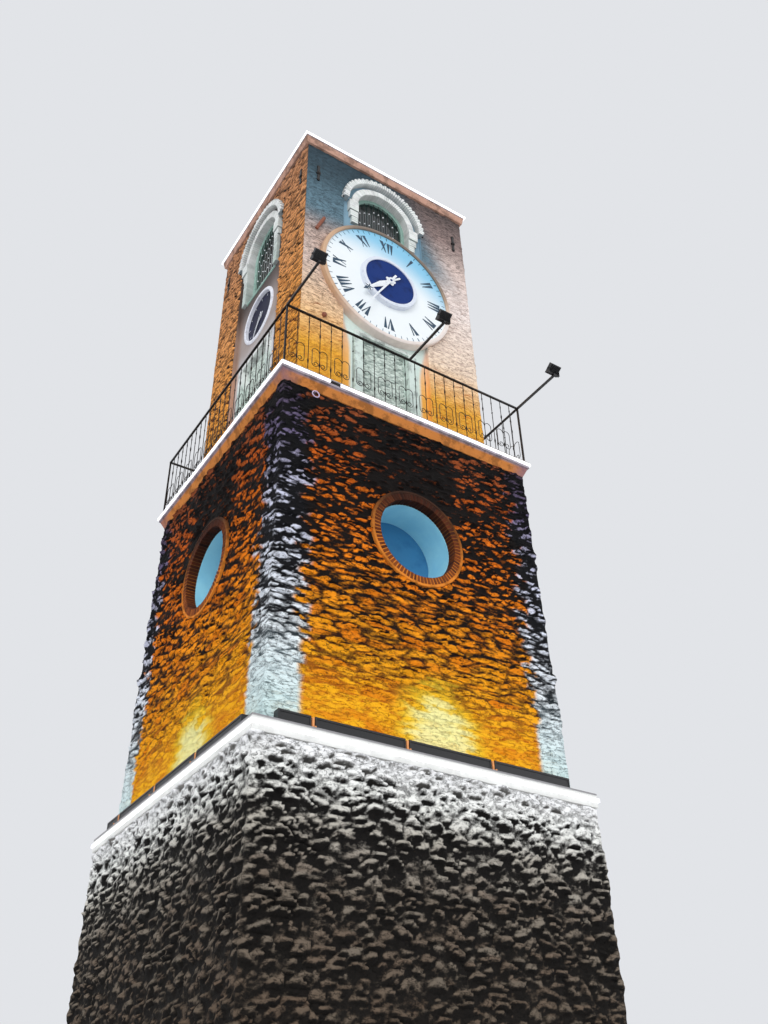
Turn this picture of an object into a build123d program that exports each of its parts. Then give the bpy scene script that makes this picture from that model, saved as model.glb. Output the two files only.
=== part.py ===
"""Square stone clock tower in three stages: base, middle stage and clock stage with a balcony.

Millimetres, +Z up. The origin is on the ground under the middle of the tower, and the side
with the large white dial faces -Y.
"""
import math
import os

from build123d import *

# Heights of the stages, from the ground up
base_height = 3525.0
ledge_thickness = 140.0
middle_height = 4045.0
balcony_cornice_height = 120.0
balcony_slab_thickness = 95.0
clock_stage_height = 4825.0
roof_cornice_height = 120.0
eaves_thickness = 40.0
roof_rise = 420.0

# Half width of the base, and how far what stands above goes out or in from it, step by step
base_half = 1870.0
ledge_projection = 25.0
ledge_width = 176.0
middle_batter = 65.0
balcony_projection = 80.0
balcony_cornice_reveal = 14.0
balcony_lip = 12.0
balcony_width = 374.0
clock_batter = 34.0
roof_cornice_reveal = 36.0
eaves_projection = 65.0
eaves_lip = 6.0
roof_peak_half = 28.0

# Wall thicknesses, measured at the foot of each stage, and the roof's and the ground floor's
base_wall = 600.0
middle_wall = 519.0
clock_wall = 460.0
roof_shell = 60.0
ground_floor_thickness = 120.0

# Light strips on the edges of the ledge, the balcony and the eaves, and the gap in the balcony's
strip_depth = 16.0
strip_height = 34.0
strip_gap = 130.0
strip_gap_from_corner = 603.0

# Round windows of the middle stage
oculus_radius = 482.0
oculus_ring_width = 106.0
oculus_height = 2512.0
oculus_ring_depth = 120.0
oculus_ring_relief = 32.0
oculus_pane_thickness = 12.0
oculus_pane_inset = 6.0

# Light housings along the ledge: on each side a short one, then long ones of equal length
short_light_length = 308.0
long_light_count = 3
ledge_light_gap = 50.0
ledge_light_first_margin = 261.0
ledge_light_last_margin = 309.0
ledge_light_depth = 80.0
ledge_light_height = 110.0
ledge_light_setback = 85.0

# Iron railing
railing_height = 919.0
railing_setback = 38.0
railing_bays = 23
post_width = 20.0
top_rail_width = 26.0
top_rail_height = 18.0
bar_width = 10.0
knot_width = 22.0
knot_height = 84.0
foot_knot_rise = 131.0
collar_height = 22.0
middle_knot_rise = 630.0
top_knot_width = 18.0
top_knot_height = 60.0
top_knot_rise = 765.0

# Lyre scrolls beside every second bar, each a strip bent in short straight steps
scroll_bar_step = 2
scroll_wire = 8.0
scroll_radius = 46.0
scroll_eye_radius = 13.0
scroll_rise = 170.0
scroll_length = 190.0
scroll_turns = 1.25
scroll_step_angle = 45.0

# Floodlights on arms in front of the large dial
flood_arm_width = 25.0
flood_arm_reach = 735.0
flood_head_width = 155.0
flood_head_height = 140.0
flood_head_depth = 50.0
flood_tilt = 54.0
flood_bracket_thickness = 5.0
flood_bracket_width = 30.0
flood_head_clearance = 14.0

# The window, dial and doorway of the front stand beside its middle
front_axis = -90.0

# Arched window in each side: its opening, the arch ring, the band round that, and the hood
arch_inner = 430.0
arch_width = 95.0
band_width = 70.0
hood_width = 70.0
hood_drop = 160.0
hood_relief = 95.0
arch_depth = 160.0
arch_relief = 45.0
side_window_height = 875.0
front_window_height = 437.0
impost_overhang = 45.0
impost_height = 200.0
impost_relief = 70.0
corbel_overhang = 25.0
corbel_height = 120.0
corbel_relief = 50.0
window_frame_width = 40.0
window_frame_depth = 45.0
window_setback = 120.0
window_glass = 8.0

# Plastered niche that holds the window, the dial and the doorway of a side
niche_margin = 125.0
niche_recess = 26.0

# Walled-up doorway under each dial
door_half = 350.0
door_frame_width = 120.0
door_lintel = 50.0
door_recess = 80.0
door_frame_relief = 20.0
front_lintel_gap = 11.0
side_lintel_gap = 284.0

# Clock dials
dial_radius = 962.0
rim_width = 56.0
dial_gap = 30.0
dial_thickness = 105.0
rim_thickness = 120.0
centre_disc_radius = 380.0
centre_ring_width = 50.0
front_ring_thickness = 170.0
front_disc_thickness = 160.0
side_pocket = 60.0
side_ring_thickness = 72.0
side_disc_thickness = 28.0

# Spindle and hands, at the time that the dials show
clock_hour = 7
clock_minute = 35
spindle_radius = 9.0
spindle_clearance = 0.3
hand_gap = 5.0
hand_thickness = 7.0
spindle_cap_radius = 17.0
spindle_cap_thickness = 6.0
front_hour_length = 585.0
front_minute_length = 850.0
side_hour_length = 225.0
side_minute_length = 335.0

# Tie-rod anchors high on the clock stage, and a ring under the balcony
anchor_drop = 430.0
anchor_from_corner = 166.0
anchor_length = 300.0
anchor_width = 36.0
anchor_depth = 18.0
eye_from_corner = 364.0
eye_drop = 28.0
eye_radius = 42.0
eye_wire = 7.0
eye_shank = 5.0
eye_standoff = 45.0

# Levels that follow from the heights
ledge_top = base_height + ledge_thickness
middle_top = ledge_top + middle_height
slab_bottom = middle_top + balcony_cornice_height
floor = slab_bottom + balcony_slab_thickness
clock_top = floor + clock_stage_height
eaves_bottom = clock_top + roof_cornice_height
eaves_top = eaves_bottom + eaves_thickness
rail_top = floor + railing_height
oculus_level = ledge_top + oculus_height

# Half widths of the square stages
ledge_half = base_half + ledge_projection
middle_half_foot = ledge_half - ledge_width
middle_half_top = middle_half_foot - middle_batter
balcony_half = middle_half_top + balcony_projection
clock_half_foot = balcony_half - balcony_width
clock_half_top = clock_half_foot - clock_batter
eaves_half = clock_half_top + eaves_projection

# Clear half widths inside the walls
base_inner = base_half - base_wall
middle_inner = middle_half_foot - middle_wall
clock_inner = clock_half_foot - clock_wall

# Radii of the arches, dials and round windows
arch_outer = arch_inner + arch_width
hood_inner = arch_outer + band_width
hood_outer = hood_inner + hood_width
rim_radius = dial_radius + rim_width
centre_ring_radius = centre_disc_radius + centre_ring_width
oculus_ring_radius = oculus_radius + oculus_ring_width

# The hood hangs from the top of the stage, the dial from the window, the doorway from the dial
spring_line = clock_top - hood_drop - hood_outer
dial_level = spring_line - front_window_height - dial_gap - rim_radius

# Distances from the tower's axis to the planes of a side
niche_plane = clock_half_top - niche_recess
door_plane = niche_plane - door_recess
side_pocket_plane = niche_plane - side_pocket
railing_plane = balcony_half - railing_setback

SIDES = {"front": 0, "right": 90, "back": 180, "left": 270}
REACH = 4000.0


def side_plane(side, distance):
    """Plane of a side at a distance from the axis: X runs along the wall, Y is up, Z is outward."""
    turn = math.radians(SIDES[side])
    outward = Vector(math.sin(turn), -math.cos(turn), 0)
    along = Vector(math.cos(turn), math.sin(turn), 0)
    return Plane(origin=outward * distance, x_dir=along, z_dir=outward)


def dial_plane(side, distance):
    """Plane of a side, centred on the line that its window, dial and doorway stand on."""
    plane = side_plane(side, distance)
    shift = front_axis if side == "front" else 0
    return Plane(origin=plane.origin + plane.x_dir * shift, x_dir=plane.x_dir, z_dir=plane.z_dir)


def wall_face(level, foot_half, top_half, bottom, top):
    """Distance from the axis to the face of a battered wall, at a level."""
    return foot_half + (top_half - foot_half) * (level - bottom) / (top - bottom)


def save(piece, name):
    """Label a finished piece and write it."""
    piece.label = name
    export_step(piece, f"parts/{name}.step")


def side_strip(side, inner):
    """Strip of a square ring that one side owns: four of them close the ring like a pinwheel."""
    with BuildPart() as strip:
        with BuildSketch(side_plane(side, inner)):
            with Locations(((inner - REACH) / 2, 0)):
                Rectangle(inner + REACH, 8 * REACH)
        extrude(amount=REACH)
    return strip.part


def square_block(half, bottom, top):
    """Square block between two levels."""
    with BuildPart() as block:
        with BuildSketch(Plane.XY.offset(bottom)):
            Rectangle(2 * half, 2 * half)
        extrude(amount=top - bottom)
    return block.part


def tapered_block(half_foot, half_top, bottom, top):
    """Square block that narrows or widens between two levels."""
    wide_end = Plane.XY.offset(bottom)
    if half_top > half_foot:
        wide_end = Plane(origin=(0, 0, top), z_dir=(0, 0, -1))
    wide_half = max(half_foot, half_top)
    slope = math.degrees(math.atan2(abs(half_foot - half_top), top - bottom))
    with BuildPart() as block:
        with BuildSketch(wide_end):
            Rectangle(2 * wide_half, 2 * wide_half)
        extrude(amount=top - bottom, taper=slope)
    return block.part


def bay(x_low, x_high, y_low, y_high):
    """Rectangle between two places along a wall and two levels."""
    with Locations(((x_low + x_high) / 2, (y_low + y_high) / 2)):
        Rectangle(x_high - x_low, y_high - y_low)


def round_headed(half, bottom):
    """Round-headed shape, from its sill to the top of its arch on the springing line."""
    with BuildSketch() as shape:
        with BuildLine():
            Polyline((-half, spring_line), (-half, bottom), (half, bottom), (half, spring_line))
            CenterArc((0, spring_line), half, 0, 180)
        make_face()
    return shape.sketch


def half_disc(radius):
    """Upper half of a disc centred on the springing line."""
    with BuildSketch() as shape:
        with BuildLine():
            Line((radius, spring_line), (-radius, spring_line))
            CenterArc((0, spring_line), radius, 0, 180)
        make_face()
    return shape.sketch


def base_and_ledge():
    with BuildPart() as ground:
        add(square_block(base_inner, 0, ground_floor_thickness))
    save(ground.part, "ground_floor")

    for side in SIDES:
        with BuildPart() as wall:
            add(square_block(base_half, 0, base_height))
            add(side_strip(side, base_inner), mode=Mode.INTERSECT)
        save(wall.part, f"base_wall_{side}")

    with BuildPart() as ledge:
        add(square_block(ledge_half, base_height, ledge_top))
        add(square_block(middle_inner, base_height, ledge_top), mode=Mode.SUBTRACT)
    save(ledge.part, "ledge_course")

    light_low = ledge_half - ledge_light_setback - ledge_light_depth / 2
    run = 2 * ledge_half - ledge_light_first_margin - ledge_light_last_margin
    long_length = (run - short_light_length) / long_light_count - ledge_light_gap
    with BuildPart() as lights:
        for side in SIDES:
            with BuildSketch(side_plane(side, light_low)):
                start = ledge_light_first_margin - ledge_half
                for length in [short_light_length] + long_light_count * [long_length]:
                    bay(start, start + length, ledge_top, ledge_top + ledge_light_height)
                    start += length + ledge_light_gap
            extrude(amount=ledge_light_depth)
    save(lights.part, "ledge_light_housings")


def light_strip(half, middle_level, name, gapped=False):
    """Lit strip round a square edge, in front of it."""
    with BuildPart() as strip:
        low = middle_level - strip_height / 2
        with BuildSketch(Plane.XY.offset(low)):
            Rectangle(2 * (half + strip_depth), 2 * (half + strip_depth))
            Rectangle(2 * half, 2 * half, mode=Mode.SUBTRACT)
        extrude(amount=strip_height)
        if gapped:
            start = strip_gap_from_corner - half
            with BuildSketch(side_plane("front", half)):
                bay(start, start + strip_gap, low, low + strip_height)
            extrude(amount=strip_depth, mode=Mode.SUBTRACT)
    save(strip.part, name)


def middle_stage():
    face = wall_face(oculus_level, middle_half_foot, middle_half_top, ledge_top, middle_top)
    ring_face = face + oculus_ring_relief
    ring_seat = ring_face - oculus_ring_depth
    for side in SIDES:
        with BuildPart() as wall:
            add(tapered_block(middle_half_foot, middle_half_top, ledge_top, middle_top))
            add(side_strip(side, middle_inner), mode=Mode.INTERSECT)
            with BuildSketch(side_plane(side, middle_inner)):
                with Locations((0, oculus_level)):
                    Circle(oculus_radius)
            extrude(amount=REACH, mode=Mode.SUBTRACT)
            with BuildSketch(side_plane(side, ring_seat)):
                with Locations((0, oculus_level)):
                    Circle(oculus_ring_radius)
            extrude(amount=REACH, mode=Mode.SUBTRACT)
        save(wall.part, f"middle_wall_{side}")

    with BuildPart() as rings:
        for side in SIDES:
            with BuildSketch(side_plane(side, ring_seat)):
                with Locations((0, oculus_level)):
                    Circle(oculus_ring_radius)
                    Circle(oculus_radius, mode=Mode.SUBTRACT)
            extrude(amount=oculus_ring_depth)
    save(rings.part, "oculus_rings")

    with BuildPart() as panes:
        for side in SIDES:
            with BuildSketch(side_plane(side, middle_inner + oculus_pane_inset)):
                with Locations((0, oculus_level)):
                    Circle(oculus_radius)
            extrude(amount=oculus_pane_thickness)
    save(panes.part, "oculus_panes")


def scroll(bar_place, outward):
    """One side of a lyre: up from the bar, over, down and in to an eye, as a flat bent strip."""
    reach = bar_width / 2 + scroll_radius
    crown = scroll_rise + scroll_length
    step_angle = math.radians(scroll_step_angle)
    path = []
    for step in range(round(math.pi / step_angle) + 1):
        turn = math.pi - step_angle * step
        path.append((reach + scroll_radius * math.cos(turn), crown + scroll_radius * math.sin(turn), turn))
    steps = round(2 * math.pi * scroll_turns / step_angle)
    for step in range(steps + 1):
        turn = -step_angle * step
        radius = scroll_radius + (scroll_eye_radius - scroll_radius) * step / steps
        path.append((reach + radius * math.cos(turn), scroll_rise + radius * math.sin(turn), turn))
    half = scroll_wire / 2
    edges = []
    for side in (half, -half):
        edge = [(x + side * math.cos(turn), y + side * math.sin(turn)) for x, y, turn in path]
        edges.append(edge)
    outline = edges[0] + edges[1][::-1]
    Polygon([(bar_place + outward * x, floor + y) for x, y in outline], align=None)


def knot(x, rise, width, height):
    """Thick part of a railing bar, seen from its side."""
    bay(x - width / 2, x + width / 2, floor + rise, floor + rise + height)


def balcony():
    cornice_foot = middle_half_top + balcony_cornice_reveal
    with BuildPart() as cornice:
        add(tapered_block(cornice_foot, balcony_half - balcony_lip, middle_top, slab_bottom))
        add(square_block(middle_inner, middle_top, slab_bottom), mode=Mode.SUBTRACT)
    save(cornice.part, "balcony_cornice")

    with BuildPart() as slab:
        add(square_block(balcony_half, slab_bottom, floor))
    save(slab.part, "balcony_slab")

    post_top = rail_top - top_rail_height
    spacing = 2 * railing_plane / railing_bays
    bars = [number * spacing - railing_plane for number in range(1, railing_bays)]
    half_top_rail = top_rail_width / 2
    for side in SIDES:
        with BuildPart() as railing:
            with BuildSketch(side_plane(side, railing_plane - half_top_rail)):
                bay(-railing_plane - half_top_rail, railing_plane - half_top_rail, post_top, rail_top)
            extrude(amount=top_rail_width)
            with BuildSketch(side_plane(side, railing_plane - post_width / 2)):
                bay(-railing_plane - post_width / 2, -railing_plane + post_width / 2, floor, post_top)
            extrude(amount=post_width)
            with BuildSketch(side_plane(side, railing_plane - bar_width / 2)):
                for x in bars:
                    bay(x - bar_width / 2, x + bar_width / 2, floor, post_top)
            extrude(amount=bar_width)
            with BuildSketch(side_plane(side, railing_plane - knot_width / 2)):
                for number, x in enumerate(bars):
                    knot(x, foot_knot_rise, knot_width, knot_height)
                    tall = collar_height if number % scroll_bar_step else knot_height
                    knot(x, middle_knot_rise - tall / 2, knot_width, tall)
            extrude(amount=knot_width)
            with BuildSketch(side_plane(side, railing_plane - top_knot_width / 2)):
                for x in bars:
                    knot(x, top_knot_rise, top_knot_width, top_knot_height)
            extrude(amount=top_knot_width)
            with BuildSketch(side_plane(side, railing_plane - scroll_wire / 2)):
                for x in bars[::scroll_bar_step]:
                    scroll(x, 1)
                    scroll(x, -1)
            extrude(amount=scroll_wire)
        save(railing.part, f"railing_{side}")


def floodlights():
    """Three arms on the front rail, each with a bracket and a square floodlight aimed at the dial."""
    rail_face = railing_plane + top_rail_width / 2
    arm_level = rail_top - top_rail_height / 2
    arm_end = rail_face + flood_arm_reach
    tilt = math.radians(flood_tilt)
    half_swing = (flood_head_height * math.cos(tilt) + flood_head_depth * math.sin(tilt)) / 2
    bracket_bottom = arm_level + flood_arm_width / 2
    pivot_level = bracket_bottom + flood_bracket_thickness + flood_head_clearance + half_swing
    pivot_plane = arm_end - flood_bracket_width / 2
    places = (-railing_plane, 0, railing_plane)

    with BuildPart() as arms:
        for x in places:
            with BuildSketch(side_plane("front", rail_face)):
                with Locations((x, arm_level)):
                    Rectangle(flood_arm_width, flood_arm_width)
            extrude(amount=flood_arm_reach)
            ear_inner = flood_head_width / 2
            ear_outer = ear_inner + flood_bracket_thickness
            with BuildSketch(side_plane("front", arm_end - flood_bracket_width)):
                bay(x - ear_outer, x + ear_outer, bracket_bottom, bracket_bottom + flood_bracket_thickness)
                for edge in (x - ear_outer, x + ear_inner):
                    bay(edge, edge + flood_bracket_thickness, bracket_bottom, pivot_level)
            extrude(amount=flood_bracket_width)
    save(arms.part, "floodlight_arms")

    with BuildPart() as heads:
        for x in places:
            face = Plane(
                origin=(x, -pivot_plane, pivot_level),
                x_dir=(1, 0, 0),
                z_dir=(0, math.cos(tilt), math.sin(tilt)),
            )
            with BuildSketch(face.offset(-flood_head_depth / 2)):
                Rectangle(flood_head_width, flood_head_height)
            extrude(amount=flood_head_depth)
    save(heads.part, "floodlight_heads")


def sill_of(side):
    """Level of the sill of a side's arched window."""
    return spring_line - (front_window_height if side == "front" else side_window_height)


def door_head_of(side):
    """Level of the underside of a side's door lintel, a little below its dial."""
    if side == "front":
        return dial_level - rim_radius - front_lintel_gap - door_lintel
    return dial_level - centre_ring_radius - side_lintel_gap - door_lintel


def clock_walls():
    for side in SIDES:
        sill = sill_of(side)
        door_top = door_head_of(side) + door_lintel
        with BuildPart() as wall:
            add(tapered_block(clock_half_foot, clock_half_top, floor, clock_top))
            add(side_strip(side, clock_inner), mode=Mode.INTERSECT)
            with BuildSketch(dial_plane(side, niche_plane)):
                bay(-arch_outer - niche_margin, arch_outer + niche_margin, floor, spring_line)
                add(half_disc(hood_outer))
            extrude(amount=REACH, mode=Mode.SUBTRACT)
            with BuildSketch(dial_plane(side, niche_plane + arch_relief - arch_depth)):
                add(round_headed(arch_outer, sill))
            extrude(amount=REACH, mode=Mode.SUBTRACT)
            with BuildSketch(dial_plane(side, clock_inner)):
                add(round_headed(arch_inner, sill))
            extrude(amount=REACH, mode=Mode.SUBTRACT)
            with BuildSketch(dial_plane(side, door_plane)):
                bay(-door_half - door_frame_width, door_half + door_frame_width, floor, door_top)
            extrude(amount=REACH, mode=Mode.SUBTRACT)
            with BuildSketch(dial_plane("front", niche_plane)):
                with Locations((0, dial_level)):
                    Circle(rim_radius)
            extrude(amount=REACH, mode=Mode.SUBTRACT)
            if side != "front":
                with BuildSketch(dial_plane(side, side_pocket_plane)):
                    with Locations((0, dial_level)):
                        Circle(centre_ring_radius)
                extrude(amount=REACH, mode=Mode.SUBTRACT)
        save(wall.part, f"clock_wall_{side}")


def arches():
    with BuildPart() as hoods:
        for side in SIDES:
            with BuildSketch(dial_plane(side, niche_plane)):
                add(half_disc(hood_outer))
                add(half_disc(hood_inner), mode=Mode.SUBTRACT)
            extrude(amount=hood_relief)
    save(hoods.part, "hood_arches")

    impost_bottom = spring_line - impost_height
    corbel_bottom = impost_bottom - corbel_height
    impost_end = arch_outer + impost_overhang
    corbel_end = arch_outer + corbel_overhang
    with BuildPart() as rings:
        for side in SIDES:
            with BuildSketch(dial_plane(side, niche_plane + arch_relief - arch_depth)):
                add(round_headed(arch_outer, sill_of(side)))
                add(round_headed(arch_inner, sill_of(side)), mode=Mode.SUBTRACT)
            extrude(amount=arch_depth)
            with BuildSketch(dial_plane(side, niche_plane)):
                bay(-impost_end, -arch_inner, impost_bottom, spring_line)
                bay(arch_inner, impost_end, impost_bottom, spring_line)
            extrude(amount=impost_relief)
            with BuildSketch(dial_plane(side, niche_plane)):
                bay(-corbel_end, -arch_inner, corbel_bottom, impost_bottom)
                bay(arch_inner, corbel_end, corbel_bottom, impost_bottom)
            extrude(amount=corbel_relief)
    save(rings.part, "window_arches")

    with BuildPart() as frames:
        for side in SIDES:
            sill = sill_of(side)
            frame_inner = arch_inner - window_frame_width
            with BuildSketch(dial_plane(side, niche_plane - window_setback)):
                add(round_headed(arch_inner, sill))
                add(round_headed(frame_inner, sill + window_frame_width), mode=Mode.SUBTRACT)
            extrude(amount=window_frame_depth)
    save(frames.part, "window_frames")

    with BuildPart() as glass:
        for side in SIDES:
            sill = sill_of(side)
            frame_inner = arch_inner - window_frame_width
            with BuildSketch(dial_plane(side, niche_plane - window_setback)):
                add(round_headed(frame_inner, sill + window_frame_width))
            extrude(amount=window_glass)
    save(glass.part, "window_glass")

    with BuildPart() as doorways:
        for side in SIDES:
            head = door_head_of(side)
            with BuildSketch(dial_plane(side, door_plane)):
                bay(-door_half - door_frame_width, -door_half, floor, head + door_lintel)
                bay(door_half, door_half + door_frame_width, floor, head + door_lintel)
                bay(-door_half, door_half, head, head + door_lintel)
            extrude(amount=door_recess + door_frame_relief)
    save(doorways.part, "doorway_frames")


def hands_seat(side):
    """Distance from the axis to the face that the hour hand passes over."""
    if side == "front":
        return niche_plane + front_ring_thickness
    return side_pocket_plane + side_disc_thickness


def centre_discs(sides, seat, thickness):
    """Blue centre discs, each with the fixed spindle that its hands turn on."""
    with BuildPart() as discs:
        for side in sides:
            with BuildSketch(dial_plane(side, seat)):
                with Locations((0, dial_level)):
                    Circle(centre_disc_radius)
            extrude(amount=thickness)
            cap_plane = hands_seat(side) + 2 * (hand_gap + hand_thickness) + spindle_clearance
            with BuildSketch(dial_plane(side, seat + thickness)):
                with Locations((0, dial_level)):
                    Circle(spindle_radius)
            extrude(amount=cap_plane - seat - thickness)
            with BuildSketch(dial_plane(side, cap_plane)):
                with Locations((0, dial_level)):
                    Circle(spindle_cap_radius)
            extrude(amount=spindle_cap_thickness)
    return discs.part


def dial_ring(sides, outer, inner, seat, thickness):
    """Flat ring round the middle of each side's dial."""
    with BuildPart() as ring:
        for side in sides:
            with BuildSketch(dial_plane(side, seat)):
                with Locations((0, dial_level)):
                    Circle(outer)
                    Circle(inner, mode=Mode.SUBTRACT)
            extrude(amount=thickness)
    return ring.part


def dials():
    front = ["front"]
    others = [side for side in SIDES if side != "front"]
    plate = dial_ring(front, dial_radius, centre_ring_radius, niche_plane, dial_thickness)
    save(plate, "front_dial")
    rim = dial_ring(front, rim_radius, dial_radius, niche_plane, rim_thickness)
    save(rim, "front_dial_rim")
    ring = dial_ring(front, centre_ring_radius, centre_disc_radius, niche_plane, front_ring_thickness)
    save(ring, "front_centre_ring")
    save(centre_discs(front, niche_plane, front_disc_thickness), "front_centre_disc")
    rings = dial_ring(others, centre_ring_radius, centre_disc_radius, side_pocket_plane, side_ring_thickness)
    save(rings, "side_dial_rings")
    save(centre_discs(others, side_pocket_plane, side_disc_thickness), "side_dial_discs")


def hour_outline(length):
    """Broad hand that points up: a lobed hub, a round-ended tail, a swelling blade and a spear tip."""
    hub = 0.105 * length
    shoulder = 0.075 * length
    neck = 0.03 * length
    Circle(hub)
    with PolarLocations(0.9 * hub, 5, start_angle=90):
        Circle(0.4 * hub)
    bay(-0.8 * neck, 0.8 * neck, -0.34 * length, 0)
    with Locations((0, -0.34 * length)):
        Circle(0.8 * neck)
    Polygon(
        (-neck, 0),
        (-shoulder, 0.35 * length),
        (-neck, 0.72 * length),
        (neck, 0.72 * length),
        (shoulder, 0.35 * length),
        (neck, 0),
        align=None,
    )
    with Locations((0, 0.8 * length)):
        Circle(0.085 * length)
    Polygon((-0.07 * length, 0.84 * length), (0.07 * length, 0.84 * length), (0, length), align=None)


def minute_outline(length):
    """Slender hand that points up: a round hub, a short tail and a long tapered blade."""
    root = 0.02 * length
    tip = 0.008 * length
    Circle(0.05 * length)
    bay(-root, root, -0.2 * length, 0)
    Polygon((-root, 0), (-tip, length), (tip, length), (root, 0), align=None)


def hands():
    """An hour hand and, in front of it, a minute hand on each dial."""
    minute_turn = 6 * clock_minute
    hour_turn = 30 * clock_hour + clock_minute / 2
    for side in SIDES:
        hour_length = front_hour_length if side == "front" else side_hour_length
        minute_length = front_minute_length if side == "front" else side_minute_length
        hour_plane = hands_seat(side) + hand_gap
        minute_plane = hour_plane + hand_thickness + hand_gap

        with BuildPart() as hour:
            with BuildSketch(dial_plane(side, hour_plane)):
                with Locations(Location((0, dial_level, 0), (0, 0, -hour_turn))):
                    hour_outline(hour_length)
                with Locations((0, dial_level)):
                    Circle(spindle_radius + spindle_clearance, mode=Mode.SUBTRACT)
            extrude(amount=hand_thickness)
        save(hour.part, f"hour_hand_{side}")

        with BuildPart() as minute:
            with BuildSketch(dial_plane(side, minute_plane)):
                with Locations(Location((0, dial_level, 0), (0, 0, -minute_turn))):
                    minute_outline(minute_length)
                with Locations((0, dial_level)):
                    Circle(spindle_radius + spindle_clearance, mode=Mode.SUBTRACT)
            extrude(amount=hand_thickness)
        save(minute.part, f"minute_hand_{side}")


def wall_irons():
    """Tie-rod anchors near the top of the clock stage, and a ring under the balcony."""
    low = clock_top - anchor_drop - anchor_length
    anchor_face = wall_face(low, clock_half_foot, clock_half_top, floor, clock_top)
    anchor_offset = clock_half_top - anchor_from_corner
    ring_offset = eye_from_corner - middle_half_top
    shank_level = middle_top - eye_drop
    ring_face = wall_face(shank_level - eye_shank, middle_half_foot, middle_half_top, ledge_top, middle_top)
    ring_plane = side_plane("front", ring_face + eye_standoff)
    with BuildPart() as irons:
        for side in SIDES:
            with BuildSketch(side_plane(side, anchor_face)):
                for x in (-anchor_offset, anchor_offset):
                    bay(x - anchor_width / 2, x + anchor_width / 2, low, low + anchor_length)
            extrude(amount=anchor_depth)
        with BuildSketch(side_plane("front", ring_face)):
            with Locations((ring_offset, shank_level)):
                Circle(eye_shank)
        extrude(amount=eye_standoff)
        with Locations(ring_plane.location * Location((ring_offset, shank_level - eye_radius, 0))):
            Torus(eye_radius, eye_wire)
    save(irons.part, "wall_irons")


def roof():
    cornice_foot = clock_half_top + roof_cornice_reveal
    with BuildPart() as cornice:
        add(tapered_block(cornice_foot, eaves_half - eaves_lip, clock_top, eaves_bottom))
        add(square_block(eaves_half, eaves_bottom, eaves_top))
        add(square_block(clock_inner, clock_top, eaves_top), mode=Mode.SUBTRACT)
    save(cornice.part, "roof_cornice")

    peak = eaves_top + roof_rise
    inner_half = eaves_half - (eaves_half - roof_peak_half) * roof_shell / roof_rise
    with BuildPart() as covering:
        add(tapered_block(eaves_half, roof_peak_half, eaves_top, peak))
        add(tapered_block(inner_half, roof_peak_half, eaves_top, peak - roof_shell), mode=Mode.SUBTRACT)
    save(covering.part, "roof")


os.makedirs("parts", exist_ok=True)
base_and_ledge()
light_strip(ledge_half, (base_height + ledge_top) / 2, "ledge_light_strip")
middle_stage()
balcony()
light_strip(balcony_half, (slab_bottom + floor) / 2, "balcony_light_strip", gapped=True)
floodlights()
clock_walls()
arches()
dials()
hands()
wall_irons()
roof()
light_strip(eaves_half, (eaves_bottom + eaves_top) / 2, "roof_light_strip")
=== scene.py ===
"""Square stone clock tower, dressed: rubble stones, brick arches, dials, ironwork and lamps.

Metres, +Z up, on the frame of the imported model. A side's own places are written as (h, z):
h runs along its wall, to the right when facing it, and z is the level.
"""

import random
from math import copysign, cos, hypot, pi, radians, sin, sqrt

import bpy
from mathutils import Matrix, Vector, noise


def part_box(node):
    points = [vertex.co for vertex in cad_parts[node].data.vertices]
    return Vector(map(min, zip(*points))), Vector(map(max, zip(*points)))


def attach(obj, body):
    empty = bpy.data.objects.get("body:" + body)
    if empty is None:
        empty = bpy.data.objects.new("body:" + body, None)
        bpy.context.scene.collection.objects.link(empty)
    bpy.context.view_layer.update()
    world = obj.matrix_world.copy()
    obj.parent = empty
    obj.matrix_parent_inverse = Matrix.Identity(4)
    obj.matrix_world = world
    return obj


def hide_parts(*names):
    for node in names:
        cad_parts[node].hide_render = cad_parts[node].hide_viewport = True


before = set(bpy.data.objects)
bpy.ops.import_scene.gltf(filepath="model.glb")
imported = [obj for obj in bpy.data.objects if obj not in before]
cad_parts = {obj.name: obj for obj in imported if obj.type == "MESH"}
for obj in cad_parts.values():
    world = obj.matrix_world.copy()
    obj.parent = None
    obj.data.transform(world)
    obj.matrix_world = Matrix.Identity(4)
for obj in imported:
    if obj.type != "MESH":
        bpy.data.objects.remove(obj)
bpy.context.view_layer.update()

# Levels of the stages and half widths of the tower at them
LEDGE_BOTTOM, LEDGE_TOP = 3.525, 3.665
MIDDLE_TOP, FLOOR = 7.710, 7.925
CLOCK_TOP, EAVES_TOP, PEAK = 12.750, 12.910, 13.330
BASE_HALF, LEDGE_HALF, EAVES_HALF, PEAK_HALF = 1.870, 1.895, 1.391, 0.028
RAILING_PLANE, RAIL_TOP = 1.696, 8.844
OCULUS_LEVEL, OCULUS_RING = 6.177, 0.588
NICHE_HALF, DOOR_PLANE, DOOR_HALF = 0.650, 1.220, 0.350
SPRING, ARCH_INNER, ARCH_OUTER, HOOD_INNER, HOOD_OUTER = 11.925, 0.430, 0.525, 0.595, 0.665
DIAL_LEVEL, RIM_RADIUS, DIAL_FACE = 10.440, 1.018, 1.404
FRONT_AXIS, ANCHOR_LEVEL, EYE_PLACE = -0.090, 12.170, -1.290

# How deep the edge of a facing is let into its wall, and how far single bricks stand back or out
LET_IN = 0.004
PROUD = (-0.002, 0.003)

# Distances from the tower's axis: the bricks and the bars of the arched windows
ARCH_BACK, ARCH_FACE, HOOD_BACK, HOOD_FACE, BAR_PLANE = 1.190, 1.349, 1.305, 1.398, 1.220


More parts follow.
